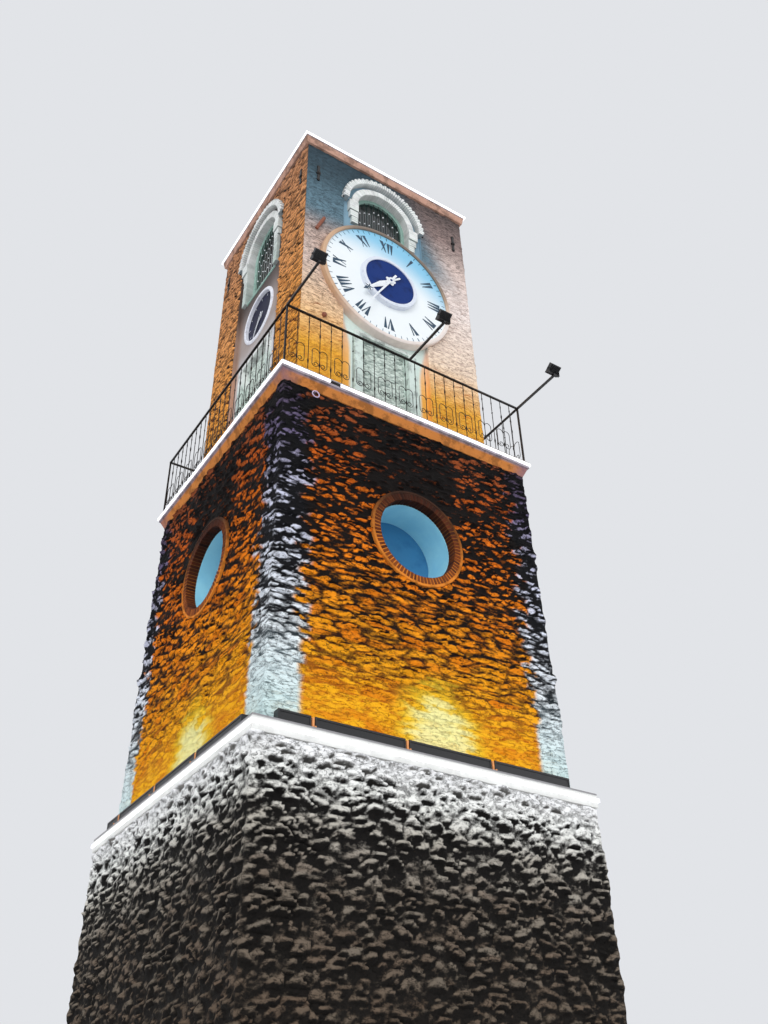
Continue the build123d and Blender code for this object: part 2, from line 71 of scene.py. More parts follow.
class Side:
    """One side of the tower: its outward direction, and the direction along its wall."""

    def __init__(self, name, outward, axis=0.0):
        self.name = name
        self.outward = Vector((*outward, 0))
        self.along = Vector((-outward[1], outward[0], 0))
        self.axis = axis
        self.front = name == "front"
        self.sill = 11.488 if self.front else 11.050
        self.door_head = 9.361 if self.front else 9.676

    def at(self, h, z, out):
        return self.outward * out + self.along * (h + self.axis) + Vector((0, 0, z))


FACING = {"front": (0, -1), "right": (1, 0), "back": (0, 1), "left": (-1, 0)}
SIDES = [Side(name, outward) for name, outward in FACING.items()]

# The same sides, measured from the line that the window, the dial and the doorway stand on
BAYS = [Side(name, outward, FRONT_AXIS if name == "front" else 0.0) for name, outward in FACING.items()]


class Plane:
    """A flat place to build on, away from the walls."""

    def __init__(self, *directions):
        self.middle, self.along, self.up, self.outward = (Vector(each) for each in directions)

    def at(self, h, z, out):
        return self.middle + self.outward * out + self.along * h + self.up * z


class Stage:
    """A stage of the tower between two levels, with walls that lean in."""

    def __init__(self, bottom, top, foot_half, top_half):
        self.bottom, self.top = bottom, top
        self.foot_half, self.top_half = foot_half, top_half

    def face(self, z):
        share = (z - self.bottom) / (self.top - self.bottom)
        return self.foot_half + (self.top_half - self.foot_half) * share


BASE = Stage(0, LEDGE_BOTTOM, BASE_HALF, BASE_HALF)
MIDDLE = Stage(LEDGE_TOP, MIDDLE_TOP, 1.719, 1.654)
CLOCK = Stage(FLOOR, CLOCK_TOP, 1.360, 1.326)


def rgb(red, green, blue):
    """A colour as it is seen on a screen, from 0 to 255, for a shader."""
    levels = [level / 255 for level in (red, green, blue)]
    return (*[x / 12.92 if x < 0.04045 else ((x + 0.055) / 1.055) ** 2.4 for x in levels], 1.0)


def operator(operation, reflected=False):
    """A Python operator that adds a Math node."""
    def add(self, other=0):
        return self.nodes.maths(operation, *((other, self) if reflected else (self, other)))
    return add


class Value:
    """A socket that Python arithmetic works on."""

    def __init__(self, nodes, socket):
        self.nodes, self.socket = nodes, socket

    __add__, __radd__ = operator("ADD"), operator("ADD", True)
    __sub__, __rsub__ = operator("SUBTRACT"), operator("SUBTRACT", True)
    __mul__, __rmul__ = operator("MULTIPLY"), operator("MULTIPLY", True)
    __truediv__, __rtruediv__ = operator("DIVIDE"), operator("DIVIDE", True)
    __abs__ = operator("ABSOLUTE")


class Nodes:
    """The node tree of a material or a world."""

    def __init__(self, owner):
        owner.use_nodes = True
        self.tree = owner.node_tree
        self.tree.nodes.clear()

    def node(self, kind, settings, sockets, output=0):
        """Add a node with its settings and its sockets' values or links; give one output if it has any."""
        node = self.tree.nodes.new("ShaderNode" + kind)
        for key, value in settings.items():
            if key == "stops":
                ramp = node.color_ramp.elements
                while len(ramp) < len(value):
                    ramp.new(0.5)
                for element, (place, colour) in zip(ramp, value):
                    element.position = place
                    element.color = rgb(*colour)
            else:
                setattr(node, key, value)
        for key, value in sockets.items():
            if isinstance(value, Value):
                self.tree.links.new(value.socket, node.inputs[key])
            else:
                node.inputs[key].default_value = value
        return Value(self, node.outputs[output]) if node.outputs else None

    def maths(self, operation, first, second):
        return self.node("Math", {"operation": operation}, {0: first, 1: second})


class Finish(Nodes):
    """A material built round one Principled shader. Its colours are given as they are seen on a screen."""

    def __init__(self, name, **constants):
        self.material = bpy.data.materials.new(name)
        super().__init__(self.material)
        fixed = {key.replace("_", " "): value for key, value in constants.items()}
        self.shader = self.node("BsdfPrincipled", {}, fixed)
        self.node("OutputMaterial", {}, {"Surface": self.shader})
        self.place = self.node("TexCoord", {}, {}, "Object")

    def set(self, name, value):
        self.tree.links.new(value.socket, self.shader.socket.node.inputs[name])

    def axis(self, name):
        return self.node("SeparateXYZ", {}, {"Vector": self.place}, name)

    def stretched(self, *scale):
        return self.node("VectorMath", {"operation": "MULTIPLY"}, {0: self.place, 1: scale})

    def noise(self, scale, detail=3.0, rough=0.55, place=None):
        sockets = {"Vector": place or self.place, "Scale": scale, "Detail": detail, "Roughness": rough}
        return self.node("TexNoise", {}, sockets, "Fac")

    def step(self, value, low, high):
        """0 below low, 1 above high, smooth between them."""
        sockets = {"Value": value, "From Min": low, "From Max": high}
        return self.node("MapRange", {"interpolation_type": "SMOOTHSTEP"}, sockets)

    def ramp(self, value, stops):
        return self.node("ValToRGB", {"stops": stops}, {"Fac": value}, "Color")

    def mix(self, factor, first, second, blend="MIX"):
        first, second = (rgb(*colour) if isinstance(colour, tuple) else colour for colour in (first, second))
        settings = {"data_type": "RGBA", "blend_type": blend}
        return self.node("Mix", settings, {0: factor, 6: first, 7: second}, 2)

    def fade(self, value, low, high, first, second):
        """The first colour below low, the second above high."""
        return self.mix(self.step(value, low, high), first, second)

    def shade(self, colour, amount):
        """A colour darkened by a value from 0, black, to 1, unchanged."""
        grey = self.node("CombineColor", {}, {0: amount, 1: amount, 2: amount})
        return self.mix(1.0, colour, grey, "MULTIPLY")

    def stored(self, name, output="Fac"):
        return self.node("Attribute", {"attribute_name": name}, {}, output)

    def dress(self, colour, height=None, distance=0.001):
        """Give the finish its colour and its bumps, and return it."""
        self.set("Base Color", colour)
        if height:
            sockets = {"Height": height, "Distance": distance, "Strength": 1.0}
            self.set("Normal", self.node("Bump", {}, sockets))
        return self


def bricks(name, tones, tints, recess_shade, grain=120.0):
    """Brick or paving: a tone for each one, a tint by level, painted shade in the recesses and a coarse
    grain.
    """
    finish = Finish(name, Roughness=0.92, Specular_IOR_Level=0.25)
    count = len(tones) - 1
    colour = finish.ramp(finish.stored("tone"), [(i / count, tone) for i, tone in enumerate(tones)])
    patches = finish.step(finish.noise(5.5, 4.0), 0.42, 0.66)
    colour = finish.shade(colour, 1 - patches * 0.22)
    low, span = tints[0][0], tints[-1][0] - tints[0][0]
    tint = finish.ramp((finish.axis("Z") - low) / span, [((z - low) / span, tint) for z, *tint in tints])
    colour = finish.mix(1.0, colour, tint, "MULTIPLY")
    fine = finish.noise(grain, 5.0, 0.65)
    colour = finish.shade(colour, 0.72 + fine * 0.5)
    # Painted shade: darker towards the back of each brick
    colour = finish.shade(colour, (1 - recess_shade) + finish.stored("rise") * recess_shade)
    return finish.dress(colour, fine * 0.6 + finish.noise(grain * 0.35), 0.002)


def mortar(name, colour, dark, depth=0.004):
    """Sandy bed between the stones, and smooth render."""
    finish = Finish(name, Roughness=0.95, Specular_IOR_Level=0.2)
    colour = finish.fade(finish.noise(3.0, 5.0), 0.35, 0.7, dark, colour)
    return finish.dress(colour, finish.noise(95.0, 4.0, 0.7), depth)


def coated(name, colour, worn, roughness, scale, depth=0.0004, **constants):
    """Painted or metal surface, a little uneven in colour and gloss."""
    finish = Finish(name, **constants)
    finish.set("Roughness", finish.noise(scale * 0.5) * 0.25 + (roughness - 0.12))
    colour = finish.fade(finish.noise(scale, 4.0), 0.5, 0.75, colour, worn)
    return finish.dress(colour, finish.noise(scale * 4.0, 2.0), depth)


class Bits:
    """Points and faces of one piece that is made of many closed lumps."""

    def __init__(self):
        self.points, self.faces = [], []
        self.layers = {"tone": [], "rise": [], "paint": [], "shadow": []}

    def ring(self, points, tone=0.5, rise=1.0):
        start = len(self.points)
        self.points.extend(points)
        self.layers["tone"].extend([tone] * len(points))
        self.layers["rise"].extend([rise] * len(points))
        return list(range(start, start + len(points)))

    def skin(self, rings):
        """Bridge rings in turn and close the ends. The rings turn left seen from the last one."""
        for lower, upper in zip(rings, rings[1:]):
            for i, corner in enumerate(lower):
                j = (i + 1) % len(lower)
                self.faces.append((corner, lower[j], upper[j], upper[i]))
        self.faces.append(tuple(reversed(rings[0])))
        self.faces.append(tuple(rings[-1]))


def piece(name, bits, finish, body="tower", smooth=0.0):
    """Make a piece from its bits: its finish and the body that it rides on."""
    mesh = bpy.data.meshes.new(name)
    mesh.from_pydata(bits.points, [], bits.faces)
    for layer, values in bits.layers.items():
        kind, key = ("FLOAT", "value") if layer in ("tone", "rise") else ("FLOAT_COLOR", "color")
        if values:
            mesh.attributes.new(layer, kind, "POINT").data.foreach_set(key, values)
    if smooth:
        mesh.shade_smooth()
        mesh.set_sharp_from_angle(angle=radians(smooth))
    mesh.materials.append(finish.material)
    made = bpy.data.objects.new(name, mesh)
    bpy.context.collection.objects.link(made)
    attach(made, body)
    return made


def smooth(value, low=0.0, high=1.0):
    """0 below low, 1 above high, smooth between them."""
    value = min(max((value - low) / (high - low), 0.0), 1.0)
    return value * value * (3 - 2 * value)


def blend(first, second, share):
    return tuple(a + (b - a) * share for a, b in zip(first, second))


def stop_share(place, stops):
    """The values of the two stops round a place, and the share of the second."""
    for (start, *first), (end, *second) in zip(stops, stops[1:]):
        if place <= end:
            return first, second, max(0.0, (place - start) / (end - start))
    return second, second, 0.0


def graded(place, *stops):
    """Colour at a place between stops, which are a place and a colour as it is seen on a screen."""
    first, second, share = stop_share(place, stops)
    return blend(rgb(*first), rgb(*second), share)


def number_at(place, *stops):
    """Number at a place between stops, which are a place and a number."""
    return blend(*stop_share(place, stops))[0]


class Round:
    """Part of a wall without facing: a disc."""

    def __init__(self, middle, level, radius):
        self.middle, self.level, self.radius = middle, level, radius

    def holds(self, h, z):
        return hypot(h - self.middle, z - self.level) < self.radius

    def edge(self, h, z):
        across, up = h - self.middle, z - self.level
        away = max(hypot(across, up), 0.001)
        return self.middle + across * self.radius / away, self.level + up * self.radius / away


class Niche:
    """Part of a wall without facing: an upright strip that ends in the half disc of its hood."""

    def __init__(self, middle):
        self.middle = middle
        self.head = Round(middle, SPRING, HOOD_OUTER)

    def holds(self, h, z):
        return abs(h - self.middle) < NICHE_HALF if z < SPRING else self.head.holds(h, z)

    def edge(self, h, z):
        if z >= SPRING:
            return self.head.edge(h, z)
        return self.middle + copysign(NICHE_HALF, h - self.middle), z


class Masonry:
    """Rough stones laid flat: their length and height, how far they stand out, and their grain."""

    def __init__(self, length, height, relief, grain, bend, joint, flat=3.0):
        self.length, self.height, self.relief, self.grain = length, height, relief, grain
        self.bend, self.joint, self.flat = bend, joint, flat

    def at(self, place):
        """How far the wall stands out, the tone of its stone, and 0 in a joint to 1 on a stone."""
        sway = noise.noise(place * 2.1)
        bend = noise.noise(place * 3.3 + Vector((7.0, 3.0, 5.0)))
        spot = Vector((
            place.x / self.length + 0.3 * sway,
            place.y / self.length + 0.3 * bend,
            place.z / self.height + self.bend * (sway + bend),
        ))
        away, sites = noise.voronoi(spot)
        lift, tone, tilt = noise.cell_vector(sites[0] * 97.0)
        body = smooth(away[1] - away[0], 0.0, self.joint)
        slope = (tilt - 0.2) * 1.3 * (spot.z - sites[0].z)
        proud = self.relief * body * max(0.15, 0.30 + 0.70 * lift + slope)
        rough = noise.turbulence(Vector((place.x * 6.5, place.y * 6.5, place.z * 6.5 * self.flat)), 3, True)
        return proud + self.grain * (rough - 0.4) * (0.35 + 0.65 * body), tone, body


def nearest_edge(h, z, zones):
    """The nearest place on the edge of the zones to a place inside them."""
    found = []
    for zone in zones:
        if zone.holds(h, z):
            edge = zone.edge(h, z)
            covered = any(other is not zone and other.holds(*edge) for other in zones)
            found.append((covered, hypot(edge[0] - h, edge[1] - z), edge))
    return min(found)[2]


def facing(name, side, masonry, plane, levels, grid, zones, sun, paint, finish, share=None, half=None):
    """Rough facing of a wall, as a sheet of points that is let into the wall at its edges.

    Without a half width of its own it reaches to the corners, where the sheets of two sides meet.
    The sun gives how steeply light grazes the wall at a level, from below where it is positive: the shadows
    that this light casts and the shade of faces turned from it are painted into the colour.
    The share gives how far the stones of a place stand out, and the paint gives its colour, with painted
    light and shade.
    """
    columns, rows = grid
    low, high = levels
    edge = 0.002
    heights = [low] + [low + edge + (high - low - 2 * edge) * row / rows for row in range(rows + 1)] + [high]
    last = len(heights) - 1
    corners = half is None
    spots = []
    for row, z in enumerate(heights):
        line = []
        for column in range(columns + 1):
            h = (2 * column / columns - 1) * (plane(z) if corners else half)
            out, tone, body = masonry.at(side.at(h, z, plane(z)))
            rim = row in (0, last) or (not corners and column in (0, columns))
            out = -LET_IN if rim else max(out * (share(h, z) if share else 1.0), 0.003)
            line.append([h, z, out, tone, any(zone.holds(h, z) for zone in zones), body])
        spots.append(line)
    if corners:
        for column in (0, columns):
            outs = [line[column][2] for line in spots]
            for row in range(3, last - 2):
                spots[row][column][2] = sum(outs[row - 2:row + 3]) / 5
    # Painted light and shade: each point's share of light, less in the shadows the stones cast in the grazing
    # light, in their joints and on faces turned from the light
    lit = [[1.0] * (columns + 1) for row in heights]
    rising = sun(low) > 0
    order = range(1, last) if rising else range(last - 1, 0, -1)
    for column in range(columns + 1):
        horizon = -1.0
        for row in order:
            h, z, out, tone, inside, body = spots[row][column]
            horizon = max(horizon - abs(sun(z)) * (high - low) / rows, out)
            above, below = spots[row + 1][column], spots[row - 1][column]
            lean = 0.0
            if 1 < row < last - 1:
                lean = (above[2] - below[2]) / (above[1] - below[1]) * (1 if rising else -1)
            painted_light_share = (1 - 0.95 * smooth(horizon - out, 0.0, 0.008)) * (0.4 + 0.6 * body)
            lit[row][column] = painted_light_share * (0.2 + 0.8 * smooth(lean, -0.8, 0.7))
    bits = Bits()
    index = {}

    def point(row, column):
        if (row, column) not in index:
            h, z, out, tone, inside = spots[row][column][:5]
            if inside:
                h, z = nearest_edge(h, z, zones)
                out = -LET_IN
            along = h
            if corners and column in (0, columns):
                along = copysign(plane(z) + out, h)
            index[row, column] = bits.ring([side.at(along, z, plane(z) + out)], tone, 1.0)[0]
            bright, dark, weight = paint(h, z, tone, lit[row][column])
            bits.layers["paint"].extend(bright)
            bits.layers["shadow"].extend(dark)
            bits.layers["rise"][-1] = weight
        return index[row, column]

    for row in range(last):
        for column in range(columns):
            quad = [(row, column), (row, column + 1), (row + 1, column + 1), (row + 1, column)]
            if not all(spots[r][c][4] for r, c in quad):
                bits.faces.append(tuple(point(r, c) for r, c in quad))
    return piece(name, bits, finish, smooth=38)


def block(bits, side, outline, low, high, chamfer=0.003, tone=0.5):
    """A chamfered block: an outline on a side, turning left, between two distances from the axis."""
    count = len(outline)
    ch = sum(point[0] for point in outline) / count
    cz = sum(point[1] for point in outline) / count
    size = min(hypot(h - ch, z - cz) for h, z in outline)
    inset = 1 - min(0.45, chamfer * 1.4 / size)
    small = [(ch + (h - ch) * inset, cz + (z - cz) * inset) for h, z in outline]
    bits.skin([
        bits.ring([side.at(h, z, low) for h, z in outline], tone, 0.0),
        bits.ring([side.at(h, z, high - chamfer) for h, z in outline], tone, 0.6),
        bits.ring([side.at(h, z, high) for h, z in small], tone, 1.0),
    ])


def slab(bits, side, left, right, low, high, near, far, chamfer=0.003, tone=0.5):
    outline = [(left, low), (right, low), (right, high), (left, high)]
    block(bits, side, outline, near, far, chamfer, tone)


def wedge(centre, inner, outer, start, end):
    """Outline of a brick in an arch, between two radii and two angles from +h."""
    steps = [(inner, start), (outer, start), (outer, end), (inner, end)]
    return [(r * cos(a), centre + r * sin(a)) for r, a in steps]


def radial_bricks(bits, side, centre, inner, outer, near, far, count, rng, full=False, teeth=0.0, gap=0.12):
    """Bricks round a circle, or over its upper half."""
    turn = (2 * pi if full else pi) / count
    for number in range(count):
        start, end = (number + gap / 2) * turn, (number + 1 - gap / 2) * turn
        tooth = teeth if number % 2 else rng.uniform(0, 0.3) * teeth
        outline = wedge(centre, inner, outer + tooth, start, end)
        block(bits, side, outline, near, far + rng.uniform(*PROUD), 0.004, rng.random())


def turned(bits, side, h, z, base, profile, steps):
    """A ring or boss turned about a side's outward axis: its profile is (radius, distance from the base).

    The profile is closed, or starts and ends at radius 0.
    """
    rings = []
    for radius, out in profile:
        turns = [2 * pi * i / steps for i in range(steps if radius else 1)]
        round_it = [(radius * cos(turn), radius * sin(turn)) for turn in turns]
        rings.append(bits.ring([side.at(h + across, z + up, base + out) for across, up in round_it]))
    closing = [] if profile[0][0] == 0 else [(rings[-1], rings[0])]
    for lower, upper in list(zip(rings, rings[1:])) + closing:
        for i in range(steps):
            j = (i + 1) % steps
            quad = [ring[k % len(ring)] for ring, k in ((lower, i), (lower, j), (upper, j), (upper, i))]
            bits.faces.append(tuple(dict.fromkeys(quad)))


def wire(bits, path, radius, sides=6):
    """A round wire along a path of points."""
    rings = []
    normal = None
    for i, point in enumerate(path):
        tangent = (path[min(i + 1, len(path) - 1)] - path[max(i - 1, 0)]).normalized()
        if normal is None:
            normal = tangent.cross(Vector((0.31, 0.57, 0.76))).normalized()
        normal = (normal - tangent * normal.dot(tangent)).normalized()
        other = tangent.cross(normal)
        turns = [2 * pi * k / sides for k in range(sides)]
        spokes = [normal * cos(turn) + other * sin(turn) for turn in turns]
        rings.append(bits.ring([point + spoke * radius for spoke in spokes]))
    bits.skin(rings)


def spindle(bits, side, h, out, profile, sides=8):
    """An upright turned bar: its profile is (radius, level), from foot to head."""
    turns = [2 * pi * i / sides for i in range(sides)]
    rings = [
        bits.ring([side.at(h + r * cos(a), z, out - r * sin(a)) for a in turns])
        for r, z in profile
    ]
    bits.skin(rings)


def faced(name, grain, depth, run, height, cracks):
    """Split stone between its lit colour and its shadow colour, which are stored at its points.

    Ragged beds, about as long and as high as given, part the two and leave thin dark cracks.
    """
    finish = Finish(name, Roughness=0.92, Specular_IOR_Level=0.2)
    fine = finish.noise(grain, 5.0, 0.65)
    beds = finish.noise(1.0, 4.0, 0.62, finish.stretched(1 / run, 1 / run, 1 / height))
    line = 1 - finish.step(abs(beds - 0.5), 0.003, 0.022)
    # The stored rise is each point's share of painted light: it picks the lit or the shadow colour, and
    # brightens the stone a little
    rise = finish.stored("rise")
    share = finish.step(rise + (beds - 0.5) * 0.9 + (fine - 0.5) * 0.35, 0.16, 0.74) * (1 - line * cracks)
    colour = finish.mix(share, finish.stored("shadow", "Color"), finish.stored("paint", "Color"))
    colour = finish.shade(colour, 0.66 + fine * 0.44 + rise * 0.18)
    return finish.dress(colour, fine * 0.8 - line * 0.8, depth)


# Camera where the photograph was taken from: right, down and forward are the rows of its turn
camera_turn = Vector((0.9111, -0.2862, 0.5204))
seen = Matrix.Rotation(camera_turn.length, 3, camera_turn.normalized())
camera_data = bpy.data.cameras.new("camera")
camera_data.lens = 34.55
camera_data.sensor_width = 36.0
camera_data.clip_end = 200.0
camera = bpy.data.objects.new("camera", camera_data)
bpy.context.collection.objects.link(camera)
camera.matrix_world = Matrix.Translation((-5.095, -8.731, 0.2435)) @ (
    Matrix((seen[0], -seen[1], -seen[2])).transposed().to_4x4()
)
bpy.context.scene.camera = camera

# Finishes
base_stone = faced("base rubble stone", 42.0, 0.012, 0.085, 0.045, 0.6)
middle_stone = faced("middle split stone", 60.0, 0.009, 0.12, 0.034, 0.75)
clock_stone = faced("clock stage coursed stone", 80.0, 0.006, 0.12, 0.024, 0.75)
base_bed = mortar("base mortar", (120, 112, 100), (92, 84, 74), 0.008)
middle_bed = mortar("middle mortar", (84, 50, 28), (58, 34, 20), 0.008)


def clock_bed(name, front):
    """Render and mortar of the clock stage, with painted light and shade: pale in the niche, blue-grey or tan
    outside it.
    """
    finish = Finish(name, Roughness=0.93, Specular_IOR_Level=0.2)
    x, y, level = (finish.axis(name) for name in "XYZ")
    cloud = finish.noise(2.2, 5.0)
    streak = finish.noise(1.6, place=finish.stretched(3.0, 3.0, 26.0))
    if front:
        along = x
        # On the front: amber at the foot in painted lamp light and blue-grey higher up in painted blue light;
        # the niche pale green-white, bluer upward in painted light
        outer = finish.fade(level, 8.6, 9.8, (252, 184, 84), (230, 204, 190))
        outer = finish.fade(level, 10.2, 11.4, outer, (92, 110, 120))
        niche = finish.fade(level, 9.4, 11.3, (218, 234, 226), (136, 168, 186))
    else:
        along = y * finish.step(abs(x), 1.289, 1.291) + x * finish.step(abs(y), 1.289, 1.291)
        # On the other sides: amber-brown outside the niche and darker upward; the niche pale, and dark
        # between the dial and the window in the dial's painted shadow
        outer = finish.fade(level, 8.8, 10.4, (168, 104, 44), (128, 80, 48))
        niche = finish.fade(abs(along) + cloud * 0.1, 0.52, 0.68, (222, 222, 226), (196, 156, 132))
        niche = finish.mix(finish.step(level + cloud * 0.3, 9.7, 10.3) * 0.75, niche, (150, 128, 116))
        niche = finish.mix(finish.step(level + cloud * 0.3, 10.5, 11.2) * 0.8, niche, (52, 44, 44))
    narrow = (1 - finish.step(level, 9.0, 9.9)) * (0.15 if front else 0.0)
    away = abs(along - (FRONT_AXIS if front else 0.0)) + narrow - NICHE_HALF
    inside = 1 - finish.step(away, 0.0, 0.06 if front else 0.016)
    colour = finish.mix(inside, outer, niche)
    colour = finish.shade(colour, 0.78 + cloud * 0.2 + streak * 0.2)
    return finish.dress(colour, finish.noise(60.0, 4.0) * 0.4 + streak * 1.4, 0.006)


front_bed = clock_bed("front render", True)
side_bed = clock_bed("side render", False)


def cornice_finish(name, under, edge, levels, corner=None, stains=0.42):
    """Rendered course under a lit edge: a warm band, a line at its top, and a colour at its corners."""
    finish = Finish(name, Roughness=0.9, Specular_IOR_Level=0.25)
    cloud = finish.noise(4.0, 5.0)
    line = finish.step(finish.axis("Z") + cloud * 0.01, *levels)
    stain = finish.step(finish.noise(7.0, 6.0, 0.65), 0.46, 0.60)
    colour = finish.shade(finish.mix(line, under, edge), (0.8 + cloud * 0.4) * (1 - stain * stains))
    if corner:
        x, y = abs(finish.axis("X")), abs(finish.axis("Y"))
        near = finish.step(finish.maths("MINIMUM", x, y) + cloud * 0.5, 1.62, 1.98)
        colour = finish.mix(near * 0.8, colour, corner)
    return finish.dress(colour, finish.noise(50.0, 4.0), 0.005)


# The ledge's render is white in painted light from the strip on it
ledge_finish = cornice_finish("ledge render", (236, 236, 232), (150, 148, 150), (3.64, 3.66), stains=0.08)
# The balcony's cornice is amber in painted lamp light, with a grey-violet painted shadow line at its top and
# lilac-grey corners in painted light and shade
balcony_finish = cornice_finish(
    "balcony cornice render", (204, 128, 62), (150, 132, 138), (7.80, 7.83), (140, 108, 120),
)
slab_finish = cornice_finish("balcony floor stone", (170, 160, 168), (186, 178, 170), (7.915, 7.923))
eaves_finish = cornice_finish("eaves render", (194, 152, 132), (168, 148, 146), (12.85, 12.87))
ground_finish = mortar("ground floor stone", (150, 146, 138), (124, 118, 110))
moulding = cornice_finish("doorway moulding", (216, 230, 222), (236, 240, 236), (9.3, 9.5))
white_brick = bricks(
    "white brick", [(232, 236, 232), (246, 248, 244), (252, 252, 250), (238, 240, 234)],
    [(11.0, 205, 220, 215), (11.9, 255, 255, 255), (12.6, 255, 255, 255)], 0.35,
)
# The round window's bricks are tinted bright and warm at the ring's foot and dark brown over its top: painted
# uplight and painted shade
oculus_brick = bricks(
    "round window brick", [(112, 62, 34), (146, 84, 44), (130, 74, 42), (92, 52, 32)],
    [(5.5, 255, 236, 200), (6.1, 220, 186, 156), (6.8, 92, 70, 62)], 0.5,
)
paving = bricks(
    "balcony paving", [(150, 144, 138), (168, 162, 154), (158, 150, 142), (176, 170, 162)],
    [(7.9, 255, 255, 255), (8.0, 255, 255, 255)], 0.3, grain=70.0,
)
# The lip is orange at its foot and dark brown over its top: painted uplight and painted shade
oculus_lip = cornice_finish("round window lip", (226, 134, 44), (60, 34, 20), (5.7, 6.75))
# The lining's light blue is painted blue-white light that shines inside the window
blue_render = mortar("blue lining render", (164, 226, 242), (146, 212, 234), 0.002)
arch_bed = mortar("arch mortar", (172, 178, 174), (150, 156, 154), 0.003)
hood_bed = mortar("hood mortar", (160, 168, 170), (140, 150, 154), 0.003)
iron = coated("painted iron", (24, 22, 22), (52, 38, 30), 0.45, 30.0, Metallic=0.6)
bracket_iron = coated("orange bracket paint", (236, 158, 96), (190, 120, 70), 0.6, 30.0)
rust_iron = coated("brown iron", (140, 82, 60), (96, 56, 44), 0.7, 30.0, depth=0.002)
lamp_coat = coated("lamp powder coat", (26, 26, 28), (40, 39, 40), 0.42, 60.0)
lamp_glass = coated("lamp glass", (70, 74, 78), (84, 88, 92), 0.14, 20.0, Coat_Weight=1.0)
amber_glass = coated(
    "amber lamp glass", (250, 180, 70), (240, 165, 60), 0.2, scale=20.0,
    Emission_Color=rgb(255, 176, 60), Emission_Strength=0.5,
)
lit = coated(
    "lit strip cover", (250, 250, 252), (240, 242, 250), 0.35, scale=15.0,
    Emission_Color=rgb(250, 250, 255), Emission_Strength=1.0,
)
pane = coated("round window pane", (60, 122, 166), (46, 102, 146), 0.2, 3.0, Coat_Weight=0.4)
disc_blue = coated("dial blue enamel", (8, 46, 114), (6, 30, 80), 0.5, 6.0, Specular_IOR_Level=0.15)
side_blue = coated("side dial blue enamel", (14, 18, 48), (20, 26, 66), 0.55, 6.0, Specular_IOR_Level=0.2)
dark_glass = coated("dark window glass", (22, 34, 34), (34, 52, 50), 0.1, 6.0, Coat_Weight=0.6)
green_paint = coated("pale green paint", (150, 184, 172), (120, 150, 140), 0.5, 24.0)
dial_grey = coated("centre ring paint", (224, 230, 240), (204, 210, 226), 0.4, 18.0)
side_rim = coated("side dial ring paint", (238, 240, 248), (206, 206, 216), 0.4, 18.0)
hand_paint = coated("white hand paint", (240, 243, 246), (220, 224, 230), 0.35, 24.0)
mark_paint = coated("dark blue mark paint", (22, 58, 82), (34, 76, 100), 0.4, 30.0)
tick_paint = coated("minute mark paint", (44, 90, 116), (60, 110, 134), 0.4, 30.0)
roofing = coated("grey roofing sheet", (104, 108, 112), (84, 86, 90), 0.5, 8.0, Metallic=0.5)


def dial_finish():
    """White opal dial in painted light: white low in its middle, sky blue towards its top right and its edge.
    """
    finish = Finish("white opal dial", Roughness=0.35, Coat_Weight=0.3)
    h = finish.axis("X") - FRONT_AXIS
    z = finish.axis("Z") - DIAL_LEVEL
    flat = finish.node("CombineXYZ", {}, {0: h, 1: z})
    away = finish.node("VectorMath", {"operation": "LENGTH"}, {0: flat}, "Value")
    tint = finish.step(z * 0.75 + h * 0.22 + away * 0.38 + finish.noise(1.5) * 0.1, 0.32, 1.0)
    return finish.dress(finish.mix(tint, (244, 249, 250), (132, 200, 232)), finish.noise(20.0), 0.0006)


def rim_finish():
    """Painted rim of the large dial, in painted light and shade: pale below, tan on the left, brown over its
    top.
    """
    finish = Finish("dial rim paint", Roughness=0.45)
    h = finish.axis("X") - FRONT_AXIS
    z = finish.axis("Z") - DIAL_LEVEL
    colour = finish.fade(z * -1 + h * 0.5, 0.1, 0.9, (204, 166, 132), (238, 226, 218))
    colour = finish.fade(z + h * 0.3, 0.2, 0.8, colour, (128, 112, 98))
    return finish.dress(finish.shade(colour, 0.85 + finish.noise(14.0) * 0.3))


def wall_iron_finish():
    """Painted iron: black high on the clock stage, pale lilac under the balcony."""
    finish = Finish("wall iron paint", Roughness=0.5)
    return finish.dress(finish.fade(finish.axis("Z"), 8.0, 8.4, (198, 180, 206), (24, 22, 22)))


opal, rim_paint, wall_iron = dial_finish(), rim_finish(), wall_iron_finish()

# Finishes of the CAD's own pieces, by the first of these that a name starts with
carried = {
    "base_wall": base_bed, "middle_wall": middle_bed, "clock_wall_front": front_bed, "clock_wall": side_bed,
    "ledge_course": ledge_finish, "balcony_cornice": balcony_finish, "balcony_slab": slab_finish,
    "ground_floor": ground_finish, "ledge_light_strip": lit, "balcony_light_strip": lit,
    "roof_light_strip": lit, "roof_cornice": eaves_finish, "roof": roofing, "doorway_frames": moulding,
    "oculus_rings": oculus_lip, "oculus_panes": pane, "hood_arches": hood_bed, "window_arches": arch_bed,
    "window_frames": green_paint, "window_glass": dark_glass, "wall_irons": wall_iron,
    "ledge_light_housings": lamp_coat, "floodlight": lamp_coat, "front_dial_rim": rim_paint,
    "front_dial": opal, "front_centre_ring": dial_grey, "front_centre_disc": disc_blue,
    "side_dial_rings": side_rim, "side_dial_discs": side_blue, "hour_hand": hand_paint,
    "minute_hand": hand_paint,
}
for name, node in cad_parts.items():
    found = [finish for start, finish in carried.items() if name.startswith(start)]
    if found:
        node.data.materials.clear()
        node.data.materials.append(found[0].material)


